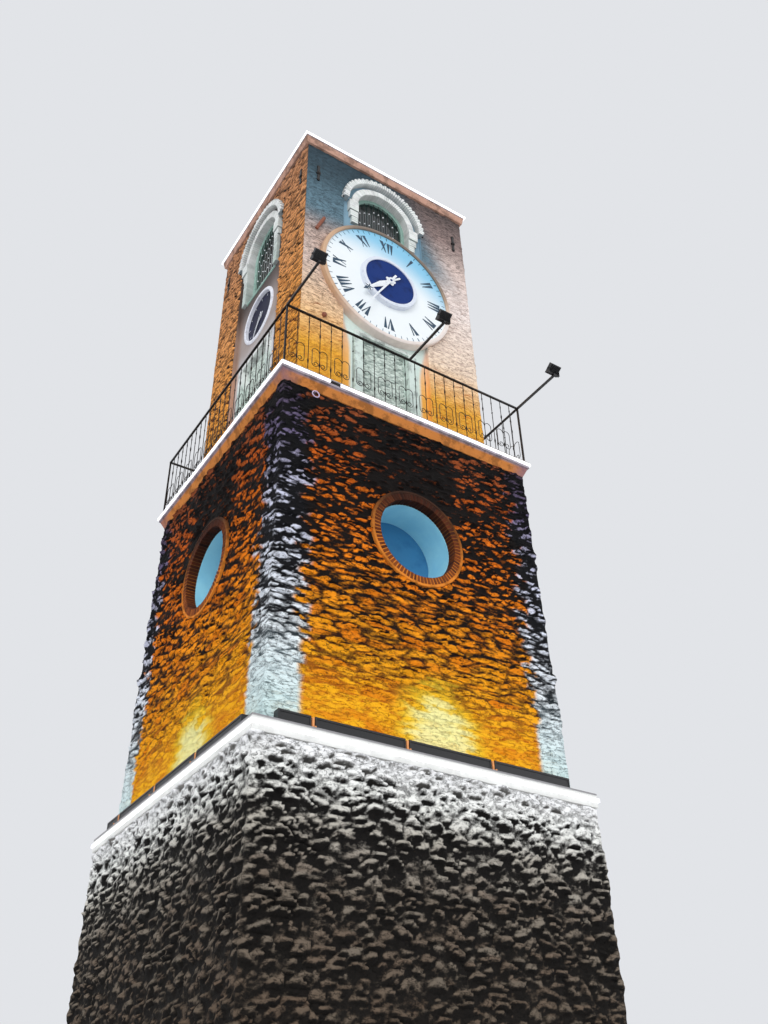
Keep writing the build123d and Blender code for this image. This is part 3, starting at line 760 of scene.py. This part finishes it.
def base_paint(h, z, tone, lit):
    """Grey rubble in painted light from the ledge's strip: white under the ledge and darker downward, with
    black painted shade in its joints and under its stones.
    """
    bright = graded(z, (0.0, 96, 85, 73), (1.6, 106, 95, 82), (2.4, 136, 127, 114),
                    (2.9, 194, 188, 176), (3.2, 252, 252, 246), (3.5, 255, 255, 255))
    # Painted shadow colour, paler right under the ledge
    dark = graded(z, (0.0, 36, 31, 27), (2.2, 23, 20, 17), (3.3, 20, 18, 17), (3.5, 128, 126, 122))
    bright = blend(bright, rgb(104, 80, 62), 0.55 * tone * (1 - smooth(z, 2.4, 3.1)))
    return bright, dark, min(1.0, 1.1 * lit) ** (1.3 - 0.75 * smooth(z, 2.8, 3.45))


def middle_paint(h, z, tone, lit):
    """Amber stone in painted floodlight, brightest at its foot, that turns brown and black upward in painted
    shade, between corner stones pale in painted white lamp light.
    """
    up = (z - LEDGE_TOP) / (MIDDLE_TOP - LEDGE_TOP)
    bright = graded(up, (0.0, 255, 196, 34), (0.12, 255, 184, 28), (0.3, 255, 164, 26),
                    (0.55, 255, 138, 26), (0.8, 208, 98, 28), (1.0, 140, 74, 44))
    bright = blend(bright, rgb(222, 104, 12), 0.6 * smooth(tone, 0.35, 1.0) * (1 - smooth(up, 0.5, 0.9)))
    # Painted shadow colours: pale amber at the foot, where the floodlight fills them, black upward
    dark = graded(up, (0.0, 250, 158, 26), (0.10, 210, 116, 16), (0.2, 72, 32, 4), (0.3, 24, 11, 4),
                  (1.0, 7, 5, 5))
    # Corners: pale in painted white lamp light low down, purple and black upward in painted shade
    pale = graded(up, (0.0, 212, 240, 238), (0.25, 246, 252, 255), (0.6, 228, 230, 250),
                  (0.82, 128, 116, 150), (1.0, 66, 52, 66))
    dim = graded(up, (0.0, 160, 192, 190), (0.12, 84, 100, 106), (0.28, 14, 15, 20), (1.0, 6, 5, 8))
    from_corner = MIDDLE.face(z) - abs(h)
    ragged = (tone - 0.5) * 0.26 * smooth(up, 0.05, 0.35)
    corner = smooth(0.35 - 0.05 * up - from_corner + ragged, -0.03, 0.03)
    # A painted pool of light from the lamp at the foot, near white in its middle
    near_lamp = 1 - hypot((h - 0.15) / 0.60, (z - 3.88) / 0.72) + (tone - 0.5) * 0.34
    light = blend(rgb(255, 220, 50), rgb(255, 250, 172), smooth(near_lamp, 0.25, 0.65))
    bright, dark = (blend(colour, light, 0.96 * smooth(near_lamp, 0.0, 0.5)) for colour in (bright, dark))
    # Less painted light upward, with its own share at the corners
    weight = min(1.0, 1.1 * lit) ** number_at(up, (0.0, 0.5), (0.3, 1.0), (0.6, 1.7), (1.0, 1.4))
    weight **= 1 + corner * (0.7 * smooth(up, 0.1, 0.3) - 0.35)
    # Painted shadow that the round window's ring casts on the wall above it
    painted_ring_shadow = smooth(z, 6.5, 6.72) * (1 - 0.5 * smooth(z, 7.2, 7.7))
    painted_ring_shadow *= smooth(0.60 - abs(h) + 0.1 * tone, 0.0, 0.16)
    return blend(bright, pale, corner), blend(dark, dim, corner), weight * (1 - 0.7 * painted_ring_shadow)


def front_paint(h, z, tone, lit):
    """Coursed stone of the front's clock stage: amber at its foot in painted lamp light, pale beside the
    dial, and slate blue-grey above in painted blue light and painted shade.
    """
    left = graded(z, (8.8, 255, 186, 64), (9.5, 252, 212, 166), (10.3, 238, 214, 200),
                  (11.1, 204, 178, 166), (11.8, 132, 126, 126), (12.7, 92, 94, 98))
    right = graded(z, (8.75, 255, 188, 70), (9.45, 255, 230, 204), (10.6, 255, 240, 232),
                   (11.5, 240, 218, 208), (12.1, 164, 142, 136), (12.7, 108, 95, 92))
    bright = blend(left, right, smooth(h, -0.3, 0.6))
    # Painted blue light over the upper left, darker upward
    painted_blue_light = smooth(z, 10.8, 11.5) * smooth(h - 0.65 + 0.5 * (z - 11.6), 0.5, -0.1)
    bright = blend(bright, blend(rgb(108, 138, 152), rgb(60, 78, 88), smooth(z, 11.4, 12.6)), painted_blue_light)
    # Painted shadow colours: amber low down, darker upward, paler beside the dial
    dark = graded(z, (8.5, 244, 152, 40), (9.2, 196, 122, 66), (9.9, 112, 86, 74),
                  (11.0, 72, 62, 60), (12.7, 40, 42, 48))
    beside = smooth(h, 0.2, 0.8) * smooth(z, 9.0, 9.6) * (1 - smooth(z, 11.2, 12.0))
    dark = blend(dark, rgb(214, 186, 174), 0.88 * beside)
    dark = blend(dark, rgb(60, 78, 88), 0.6 * painted_blue_light)
    return bright, dark, 0.2 + 0.8 * min(1.0, 1.2 * lit) ** 0.7


def side_paint(h, z, tone, lit):
    """Orange-brown coursed stone of the other sides' clock stage, amber in painted lamp light at its foot,
    with painted shadow that darkens upward.
    """
    bright = graded(z, (8.2, 255, 188, 64), (9.2, 255, 172, 76), (10.6, 248, 172, 104),
                    (12.7, 208, 148, 108))
    dark = graded(z, (8.2, 200, 110, 26), (9.0, 96, 48, 18), (10.2, 40, 22, 13), (12.7, 28, 18, 14))
    return bright, dark, min(1.0, 1.15 * lit) ** 0.9


def right_paint(h, z, tone, lit):
    """The right side's stone, pale beside the front."""
    share = smooth(h, -1.26, -1.08)
    bright, dark, weight = front_paint(1.3, z, tone, lit)
    side_bright, side_dark, side_weight = side_paint(h, z, tone, lit)
    return (blend(bright, side_bright, share), blend(dark, side_dark, share),
            weight + (side_weight - weight) * share)


def doorway_paint(h, z, tone, lit):
    # Pale green-white infill, with a painted shadow colour by its share of painted light
    return rgb(230, 242, 232), rgb(150, 166, 158), 0.2 + 0.8 * lit ** 0.7


def render_share(h, z):
    """How far the courses show on the front's clock stage: little in the smooth part round the arch."""
    smooth_part = smooth(z, 10.4, 11.4) * smooth(h - 0.35 + 0.5 * (z - 11.6), 0.65, -0.1)
    return 1.0 - 0.62 * smooth_part


def near_irons(h, z):
    """How far stones stand out: less beside the anchors, which stay clear, and at the corners."""
    away = max(abs(abs(h) - 1.149) - 0.018, abs(z - ANCHOR_LEVEL) - 0.150, 0.0)
    corner = smooth(CLOCK.face(z) - abs(h), 0.0, 0.16)
    return (0.35 + 0.65 * smooth(away, 0.0, 0.12)) * (0.45 + 0.55 * corner)


def corner_stones(h, z):
    """How far the middle stage's stones stand out: more at the corners, and little at the foot."""
    return (1.0 + 0.15 * smooth(abs(h), 1.20, 1.45)) * (0.45 + 0.55 * smooth(z, 3.7, 4.7))


def near_eye(h, z):
    """How far the stones stand out on the front: less round the eye of the wall iron too."""
    away = max(hypot(h - EYE_PLACE, z - 7.640) - 0.06, 0.0)
    return (0.40 + 0.60 * smooth(away, 0.0, 0.15)) * corner_stones(h, z)


def stone_walls():
    """Facing of the three stages, and the rubble that closes the doorways."""
    boulders = Masonry(0.18, 0.082, 0.046, 0.044, bend=0.9, joint=0.35, flat=2.3)
    split = Masonry(0.30, 0.058, 0.032, 0.060, bend=1.0, joint=0.4, flat=3.8)
    courses = Masonry(0.20, 0.044, 0.018, 0.010, bend=0.16, joint=0.4, flat=4.0)
    rough_courses = Masonry(0.22, 0.048, 0.026, 0.036, bend=0.4, joint=0.4, flat=4.2)
    infill = Masonry(0.15, 0.046, 0.030, 0.014, bend=0.3, joint=0.4)
    clock_paints = {"front": front_paint, "right": right_paint, "back": side_paint, "left": side_paint}
    for side, bay in zip(SIDES, BAYS):
        facing(
            f"base_stones_{side.name}", side, boulders, BASE.face,
            (0.002, LEDGE_BOTTOM - 0.002), (140, 164), [],
            lambda z: -(0.30 + 0.5 * smooth(z, 2.8, 3.5)), base_paint, base_stone,
        )
        facing(
            f"middle_stones_{side.name}", side, split, MIDDLE.face,
            (LEDGE_TOP + 0.002, MIDDLE_TOP - 0.002), (132, 230),
            [Round(0, OCULUS_LEVEL, OCULUS_RING - 0.006)],
            lambda z: 0.17 + 0.8 * (1 - smooth(z, 3.7, 6.4)), middle_paint, middle_stone,
            near_eye if side.front else corner_stones,
        )
        facing(
            f"clock_stones_{side.name}", side, courses if side.front else rough_courses, CLOCK.face,
            (FLOOR + 0.010, CLOCK_TOP - 0.002), (104, 400),
            [Niche(bay.axis)] + ([Round(bay.axis, DIAL_LEVEL, RIM_RADIUS - 0.004)] if side.front else []),
            lambda z: 0.30, clock_paints[side.name], clock_stone,
            (lambda h, z: render_share(h, z) * near_irons(h, z)) if side.front else near_irons,
        )
        facing(
            f"doorway_stones_{side.name}", bay, infill, lambda z: DOOR_PLANE,
            (FLOOR + 0.010, bay.door_head - 0.002), (28, 110), [],
            lambda z: 0.30, doorway_paint, clock_stone, half=DOOR_HALF - 0.002,
        )


def round_windows():
    """Radial bricks, outer lip and blue lining of the round windows."""
    rng = random.Random(51)
    ring, lips, linings = Bits(), Bits(), Bits()
    face = MIDDLE.face(OCULUS_LEVEL) + 0.032
    lip = [(0.558, -0.05), (0.589, -0.05), (0.590, -0.004), (0.586, 0.005), (0.563, 0.005), (0.558, -0.004)]
    lining = [(0.470, 1.220 - face), (0.483, 1.220 - face), (0.483, -0.112), (0.470, -0.112)]
    for side in SIDES:
        radial_bricks(ring, side, OCULUS_LEVEL, 0.477, 0.556, face - 0.115, face + 0.003, 76, rng,
                      full=True, gap=0.26)
        turned(lips, side, 0, OCULUS_LEVEL, face, lip, 96)
        turned(linings, side, 0, OCULUS_LEVEL, face, lining, 96)
    piece("oculus_bricks", ring, oculus_brick)
    piece("oculus_lips", lips, oculus_lip, smooth=40)
    piece("oculus_linings", linings, blue_render, smooth=40)


def courses_up(bits, side, left, right, low, high, near, far, rng, height=0.037):
    """Brick courses between two levels, with open joints."""
    rows = max(1, round((high - low) / height))
    step = (high - low) / rows
    for row in range(rows):
        bottom, top = low + row * step + 0.002, low + (row + 1) * step - 0.002
        slab(bits, side, left, right, bottom, top, near, far + rng.uniform(*PROUD), 0.004, rng.random())


def brick_arches():
    """Bricks of the hoods, of the arches and their jambs, and of the imposts and corbels."""
    rng = random.Random(61)
    hoods, rings, pins = Bits(), Bits(), Bits()
    pin = [(0.007, SPRING - 0.020), (0.011, SPRING + 0.004), (0.006, SPRING + 0.030)]
    for side in BAYS:
        radial_bricks(hoods, side, SPRING, HOOD_INNER - 0.004, HOOD_OUTER - 0.002, HOOD_BACK, HOOD_FACE,
                      52, rng, teeth=0.024, gap=0.2)
        radial_bricks(rings, side, SPRING, ARCH_INNER - 0.006, ARCH_OUTER + 0.003, ARCH_BACK, ARCH_FACE,
                      46, rng)
        jamb, corbel, impost = (0.528, side.sill, 11.605), (0.554, 11.605, 11.725), (0.574, 11.725, SPRING)
        for sign in (-1, 1):
            for (outer, low, high), out in ((jamb, -0.001), (corbel, 0.005), (impost, 0.025)):
                left, right = sorted((sign * 0.425, sign * outer))
                courses_up(rings, side, left, right, low, high, ARCH_BACK, ARCH_FACE + out, rng)
            spindle(pins, side, sign * 0.672, 1.362, pin)
    piece("hood_bricks", hoods, white_brick)
    piece("arch_bricks", rings, white_brick)
    piece("hood_pins", pins, iron, smooth=40)


def windows():
    """Frame mouldings, sills, and the iron bars with their pale beads."""
    frames, bars, beads = Bits(), Bits(), Bits()
    for side in BAYS:
        low = side.sill + 0.02
        for radius, out in ((0.421, 1.231), (0.405, 1.227), (0.388, 1.222)):
            turns = [pi * i / 40 for i in range(41)]
            arc = [side.at(radius * cos(a), SPRING + radius * sin(a), out) for a in turns]
            wire(frames, [side.at(radius, low, out), *arc, side.at(-radius, low, out)], 0.0065)
        slab(frames, side, -0.44, 0.44, side.sill - 0.018, low, 1.185, 1.312, 0.005)
        bottom = side.sill + 0.03
        for number in range(-4, 5):
            h = number * 0.080
            top = SPRING + sqrt(0.392 ** 2 - h * h)
            spindle(bars, side, h, BAR_PLANE, [(0.0055, bottom), (0.0055, top)])
            count = max(2, round((top - bottom) / 0.22))
            for row in range(1, count):
                z = bottom + (top - bottom) * row / count
                bead = [(0.004, z - 0.012), (0.010, z - 0.005), (0.010, z + 0.005), (0.004, z + 0.012)]
                spindle(beads, side, h, BAR_PLANE, bead)
    piece("window_mouldings", frames, green_paint, smooth=50)
    piece("window_bars", bars, iron, smooth=50)
    piece("window_beads", beads, hand_paint, smooth=50)


NUMERALS = ["XII", "I", "II", "III", "IV", "V", "VI", "VII", "VIII", "IX", "X", "XI"]


def on_dial(turn, across, up):
    """A place on a dial, across and up from its middle, once the dial has turned so far."""
    return across * cos(turn) + up * sin(turn), DIAL_LEVEL - across * sin(turn) + up * cos(turn)


def stroke(bits, side, turn, foot, head, foot_width, head_width, near, far):
    """A tapered plate on a dial, from its pointed foot, near the middle, to its broad head."""
    corners = [(foot, foot_width), (head, head_width), (head, -head_width), (foot, -foot_width)]
    outline = [on_dial(turn, end[0] + width / 2, end[1]) for end, width in corners]
    block(bits, side, outline, near, far, 0.0008)


def dial_marks():
    """Hour numerals and minute marks of the large dial, and the mouldings of all dials."""
    marks, ticks, rim, ring = Bits(), Bits(), Bits(), Bits()
    front = BAYS[0]
    low, high = 0.650, 0.850
    widths = {"I": 0.052, "V": 0.105, "X": 0.105}
    lean = 0.036
    for hour, numeral in enumerate(NUMERALS):
        turn = radians(30 * hour)
        place = -sum(widths[letter] for letter in numeral) / 2
        for letter in numeral:
            middle = place + widths[letter] / 2
            place += widths[letter]
            cross = 0.0 if letter == "V" else -lean
            strokes = [(-cross, -lean, 0.010, 0.054, 0.0045), (cross, lean, 0.006, 0.018, 0.0040)]
            if letter == "I":
                strokes = [(0.0, 0.0, 0.008, 0.047, 0.0045)]
            for foot, head, foot_width, head_width, out in strokes:
                stroke(marks, front, turn, (middle + foot, low), (middle + head, high),
                       foot_width, head_width, DIAL_FACE, DIAL_FACE + out)
    for minute in range(60):
        broad = 0.009 if minute % 5 else 0.016
        stroke(ticks, front, radians(6 * minute), (0, 0.895), (0, 0.945), broad * 0.6, broad,
               DIAL_FACE, DIAL_FACE + 0.0035)
    turned(rim, front, 0, DIAL_LEVEL, 1.40, [
        (0.964, 0), (0.964, 0.024), (0.974, 0.032), (0.998, 0.032), (1.014, 0.022), (1.021, 0),
        (1.021, -0.03), (1.004, -0.04),
    ], 128)
    turned(ring, front, 0, DIAL_LEVEL, 1.40, [
        (0.381, 0.055), (0.381, 0.0715), (0.386, 0.0735), (0.410, 0.0735), (0.430, 0.064), (0.4335, 0.052),
        (0.4335, 0.008), (0.440, 0.0045), (0.426, 0),
    ], 96)
    piece("dial_numerals", marks, mark_paint)
    piece("dial_minute_marks", ticks, tick_paint)
    piece("dial_rim_moulding", rim, rim_paint, smooth=40)
    piece("dial_ring_moulding", ring, dial_grey, smooth=40)
    side_rings, side_marks = Bits(), Bits()
    for side in BAYS[1:]:
        turned(side_rings, side, 0, DIAL_LEVEL, 1.27, [
            (0.379, 0), (0.379, 0.044), (0.386, 0.050), (0.414, 0.050), (0.433, 0.040), (0.437, 0.02),
        ], 96)
        for hour in range(12):
            turn = radians(30 * hour)
            stroke(side_marks, side, turn, (0, 0.315), (0, 0.352), 0.006, 0.012, 1.2675, 1.2695)
    piece("side_dial_mouldings", side_rings, side_rim, smooth=40)
    piece("side_dial_marks", side_marks, hand_paint)


def hand_details():
    """Bosses and raised spines on the hands, and the dark star and spear of each hour hand."""
    hour_turn, minute_turn = radians(227.5), radians(210)
    for side in BAYS:
        seat, length, reach = (1.470, 0.585, 0.850) if side.front else (1.268, 0.225, 0.335)
        hour_face, minute_face = seat + 0.012, seat + 0.024
        spine, star, slim = Bits(), Bits(), Bits()

        def raised(bits, turn, size, foot, head, foot_width, head_width, face, lift):
            """A plate on a hand, in shares of the hand's length."""
            stroke(bits, side, turn, (0, foot * size), (0, head * size), foot_width * size, head_width * size,
                   face - 0.001, face + lift)

        raised(spine, hour_turn, length, 0.14, 0.40, 0.03, 0.06, hour_face, 0.0022)
        raised(spine, hour_turn, length, 0.70, 0.40, -0.02, -0.06, hour_face, 0.0022)
        middle = 0.80 * length
        for blade in range(5):
            points = [(0.0, middle)]
            for bend, radius in ((0.5, 0.04), (0.0, 0.12), (-0.5, 0.04)):
                angle = radians(72 * blade) + bend
                points.append((radius * length * sin(angle), middle + radius * length * cos(angle)))
            outline = [on_dial(hour_turn, *point) for point in points]
            block(star, side, outline, hour_face - 0.001, hour_face + 0.002, 0.0006)
        raised(star, hour_turn, length, 0.99, 0.85, -0.006, -0.12, hour_face, 0.0018)
        raised(slim, minute_turn, reach, 0.97, 0.06, -0.006, -0.02, minute_face, 0.0018)
        boss = [(0.020, -0.001), (0.045 * reach, -0.001), (0.045 * reach, 0.001), (0.040 * reach, 0.003),
                (0.020, 0.003)]
        turned(slim, side, 0, DIAL_LEVEL, minute_face, boss, 32)
        piece(f"hour_spine_{side.name}", spine, hand_paint, f"hour_hand_{side.name}")
        piece(f"hour_star_{side.name}", star, mark_paint, f"hour_hand_{side.name}")
        piece(f"minute_spine_{side.name}", slim, hand_paint, f"minute_hand_{side.name}")


def railings():
    """Iron railing of each side: rail, post, bars with long and round knots, and lyre scrolls."""
    bays = 23
    end = RAILING_PLANE
    under = RAIL_TOP - 0.018

    def knot(level, half, radius):
        middle = FLOOR + level
        return [(0.005, middle - half), (radius * 0.75, middle - half * 0.5), (radius, middle),
                (radius * 0.75, middle + half * 0.5), (0.005, middle + half)]

    for side in SIDES:
        bits = Bits()
        slab(bits, side, -end - 0.013, end - 0.013, under, RAIL_TOP, end - 0.013, end + 0.013, 0.004)
        slab(bits, side, -end - 0.010, -end + 0.010, FLOOR, under, end - 0.010, end + 0.010)
        for number in range(1, bays):
            h = number * 2 * end / bays - end
            long = number % 2
            spindle(bits, side, h, end, [
                (0.005, FLOOR), *knot(0.173, 0.042, 0.0115), *knot(0.630, 0.042 if long else 0.011, 0.011),
                *knot(0.795, 0.030, 0.009), (0.005, under),
            ], 6)
            if long:
                for sign in (-1, 1):
                    wire(bits, lyre(side, h, sign, end), 0.0042, 5)
        railing = piece(f"railing_iron_{side.name}", bits, iron, smooth=50)
        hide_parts(f"railing_{side.name}")


def lyre(side, h, sign, out):
    """One side of a lyre: up from the bar, over, down and in to an eye."""
    reach, radius, rise, length = 0.051, 0.046, 0.170, 0.190
    path = []
    for step in range(9):
        turn = radians(180 - 22.5 * step)
        path.append((reach + radius * cos(turn), rise + length + radius * sin(turn)))
    for step in range(19):
        turn = radians(-25 * step)
        size = radius - 0.033 * step / 18
        path.append((reach + size * cos(turn), rise + size * sin(turn)))
    return [side.at(h + sign * x, FLOOR + z, out) for x, z in path]


def ledge_lamps():
    """End caps, edges and amber glass of the lamps on the ledge, and the brackets between them."""
    coats, glass, brackets = Bits(), Bits(), Bits()
    run = 2 * LEDGE_HALF - 0.261 - 0.309
    long_length = (run - 0.308) / 3 - 0.050
    near, far = LEDGE_HALF - 0.125, LEDGE_HALF - 0.045
    for side in SIDES:
        start = 0.261 - LEDGE_HALF
        for length in [0.308] + 3 * [long_length]:
            end = start + length
            parts = [
                (coats, start - 0.004, start + 0.012, 0.002, 0.116, near - 0.004, far + 0.004, 0.003),
                (coats, end - 0.012, end + 0.004, 0.002, 0.116, near - 0.004, far + 0.004, 0.003),
                (coats, start, end, 0.094, 0.113, far - 0.008, far + 0.005, 0.002),
                (coats, start, end, 0.010, 0.024, far - 0.004, far + 0.005, 0.002),
                (glass, start + 0.016, end - 0.016, 0.106, 0.113, near + 0.010, far - 0.012, 0.001),
            ]
            if end < LEDGE_HALF - 0.35:
                parts += [
                    (brackets, end + 0.015, end + 0.035, 0.0, 0.104, near, far + 0.006, 0.002),
                    (brackets, end + 0.017, end + 0.033, 0.0, 0.010, far, LEDGE_HALF + 0.004, 0.002),
                ]
            for bits, left, right, low, high, back, face, chamfer in parts:
                slab(bits, side, left, right, LEDGE_TOP + low, LEDGE_TOP + high, back, face, chamfer)
            start = end + 0.050
    piece("ledge_lamp_covers", coats, lamp_coat)
    piece("ledge_lamp_brackets", brackets, bracket_iron)
    piece("ledge_lamp_glass", glass, amber_glass)


def floodlights():
    """Glass, bezel, cooling fins and pivot knobs of the three floodlights."""
    coats, glass = Bits(), Bits()
    tilt = radians(54)
    low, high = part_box("floodlight_heads")
    for x in (-RAILING_PLANE, 0, RAILING_PLANE):
        centre = Vector((x, (low.y + high.y) / 2, (low.z + high.z) / 2))
        head = Plane(centre, (1, 0, 0), (0, -sin(tilt), cos(tilt)), (0, cos(tilt), sin(tilt)))
        slab(glass, head, -0.066, 0.066, -0.058, 0.058, 0.022, 0.0265, 0.001)
        for left, right, bottom, top in (
            (-0.0775, -0.066, -0.070, 0.070), (0.066, 0.0775, -0.070, 0.070),
            (-0.066, 0.066, -0.070, -0.058), (-0.066, 0.066, 0.058, 0.070),
        ):
            slab(coats, head, left, right, bottom, top, 0.020, 0.031, 0.002)
        for fin in range(-6, 7):
            middle = fin * 0.0108
            slab(coats, head, middle - 0.0016, middle + 0.0016, -0.058, 0.058, -0.034, -0.024, 0.001)
        for sign in (-1, 1):
            wire(coats, [centre + Vector((sign * reach, 0, 0)) for reach in (0.074, 0.094)], 0.009, 12)
    piece("floodlight_coats", coats, lamp_coat)
    piece("floodlight_glass", glass, lamp_glass)


def irons():
    """Bosses and nuts of the anchors, and on the front the other irons.

    Those are a leaning iron and a knob, both brown, a boss over the eye and a plate on the balcony's edge.
    """
    dark, brown = Bits(), Bits()
    boss = [(0, 0), (0.034, 0), (0.034, 0.022), (0.022, 0.032), (0, 0.034)]
    nut = [(0, 0), (0.026, 0), (0.026, 0.018), (0, 0.020)]
    knob = [(0, 0), (0.022, 0), (0.034, 0.04), (0.024, 0.06), (0, 0.065)]
    cap = [(0, 0), (0.026, 0), (0.026, 0.014), (0, 0.018)]
    for side in SIDES:
        for h in (-1.160, 1.160):
            turned(dark, side, h, ANCHOR_LEVEL, 1.33, boss, 16)
            for z in (ANCHOR_LEVEL - 0.140, ANCHOR_LEVEL + 0.140):
                turned(dark, side, h, z, 1.33, nut, 12)
    front = SIDES[0]
    out = CLOCK.face(11.12)
    wire(brown, [front.at(-1.170, 10.945, out + 0.012), front.at(-1.065, 11.21, out + 0.034)], 0.024, 8)
    turned(brown, front, -1.031, 9.35, 1.34, knob, 16)
    turned(dark, front, EYE_PLACE, 7.682, 1.65, cap, 16)
    slab(dark, front, -1.133, -0.999, 7.8615, 7.8935, 1.733, 1.744, 0.002)
    piece("anchor_bosses", dark, iron, smooth=40)
    piece("leaning_iron", brown, rust_iron, smooth=40)


def roof_sheets():
    """Standing seams and hip caps of the roof, and a boss on its top."""
    bits = Bits()
    span = EAVES_HALF - PEAK_HALF
    for side in SIDES:
        def on_roof(h, share, lift):
            z = EAVES_TOP + (PEAK - EAVES_TOP) * share + lift
            return side.at(h, z, EAVES_HALF - span * share)

        for number in range(-4, 5):
            h = number * 0.30
            end = (EAVES_HALF - abs(h)) / span - 0.02
            wire(bits, [on_roof(h, 0.004, 0.010), on_roof(h, end, 0.010)], 0.011)
        wire(bits, [on_roof(EAVES_HALF - span * share, share, 0.008) for share in (0.004, 0.985)], 0.020, 8)
    top = [(0.055, PEAK - 0.03), (0.050, PEAK - 0.004), (0.030, PEAK + 0.004)]
    spindle(bits, SIDES[0], 0, 0, top, 16)
    piece("roof_seams", bits, roofing, smooth=40)


def balcony_paving():
    """Paving round the clock stage."""
    rng = random.Random(71)
    bits = Bits()
    ground = Plane((0, 0, 0), (1, 0, 0), (0, 1, 0), (0, 0, 1))
    near, far = 1.372, 1.668
    count = 10
    step = 2 * near / count
    inner = [(-near + place * step, -near + (place + 1) * step) for place in range(count)]
    for start, stop in [(-far, -near), *inner, (near, far)]:
        run = (start + 0.003, stop - 0.003)
        for strip in ((-far, -near), (near, far)):
            slab(bits, ground, *run, *strip, FLOOR - 0.001, FLOOR + 0.008, 0.002, rng.random())
            if (start, stop) in inner:
                slab(bits, ground, *strip, *run, FLOOR - 0.001, FLOOR + 0.008, 0.002, rng.random())
    piece("balcony_paving", bits, paving)


stone_walls()
round_windows()
brick_arches()
windows()
dial_marks()
hand_details()
railings()
ledge_lamps()
floodlights()
irons()
roof_sheets()
balcony_paving()


def studio():
    """Pale floor, pale surroundings and soft lamps."""
    floor_finish = Finish("studio floor", Roughness=0.9, Base_Color=rgb(244, 244, 246))
    mesh = bpy.data.meshes.new("studio_floor")
    mesh.from_pydata([(-40, -40, 0), (40, -40, 0), (40, 40, 0), (-40, 40, 0)], [], [(0, 1, 2, 3)])
    mesh.materials.append(floor_finish.material)
    floor = bpy.data.objects.new("studio_floor", mesh)
    floor.location.z = -0.002
    bpy.context.collection.objects.link(floor)

    for name, towards, strength, spread in (
        ("key", (0.57, 0.76, -0.32), 1.5, 50),
        ("back", (-0.54, -0.68, -0.5), 1.3, 60),
        ("right", (-0.86, 0.28, -0.42), 0.5, 60),
    ):
        light = bpy.data.lights.new(name, "SUN")
        light.energy = strength
        light.angle = radians(spread)
        lamp = bpy.data.objects.new(name, light)
        lamp.rotation_euler = Vector(towards).to_track_quat("-Z", "Y").to_euler()
        bpy.context.collection.objects.link(lamp)

    world = bpy.data.worlds.new("studio")
    bpy.context.scene.world = world
    sky = Nodes(world)
    camera_ray, glossy_ray, passing_ray = (
        sky.node("LightPath", {}, {}, f"Is {kind} Ray") for kind in ("Camera", "Glossy", "Transmission")
    )
    around = sky.node("Background", {}, {"Color": rgb(236, 240, 246), "Strength": 0.6})
    behind = sky.node("Background", {}, {"Color": rgb(226, 228, 232), "Strength": 1.0})
    seen_by = sky.maths("MAXIMUM", camera_ray, sky.maths("MAXIMUM", glossy_ray, passing_ray))
    sky.node("OutputWorld", {}, {"Surface": sky.node("MixShader", {}, {0: seen_by, 1: around, 2: behind})})


studio()
bpy.context.scene.view_settings.view_transform = "Standard"
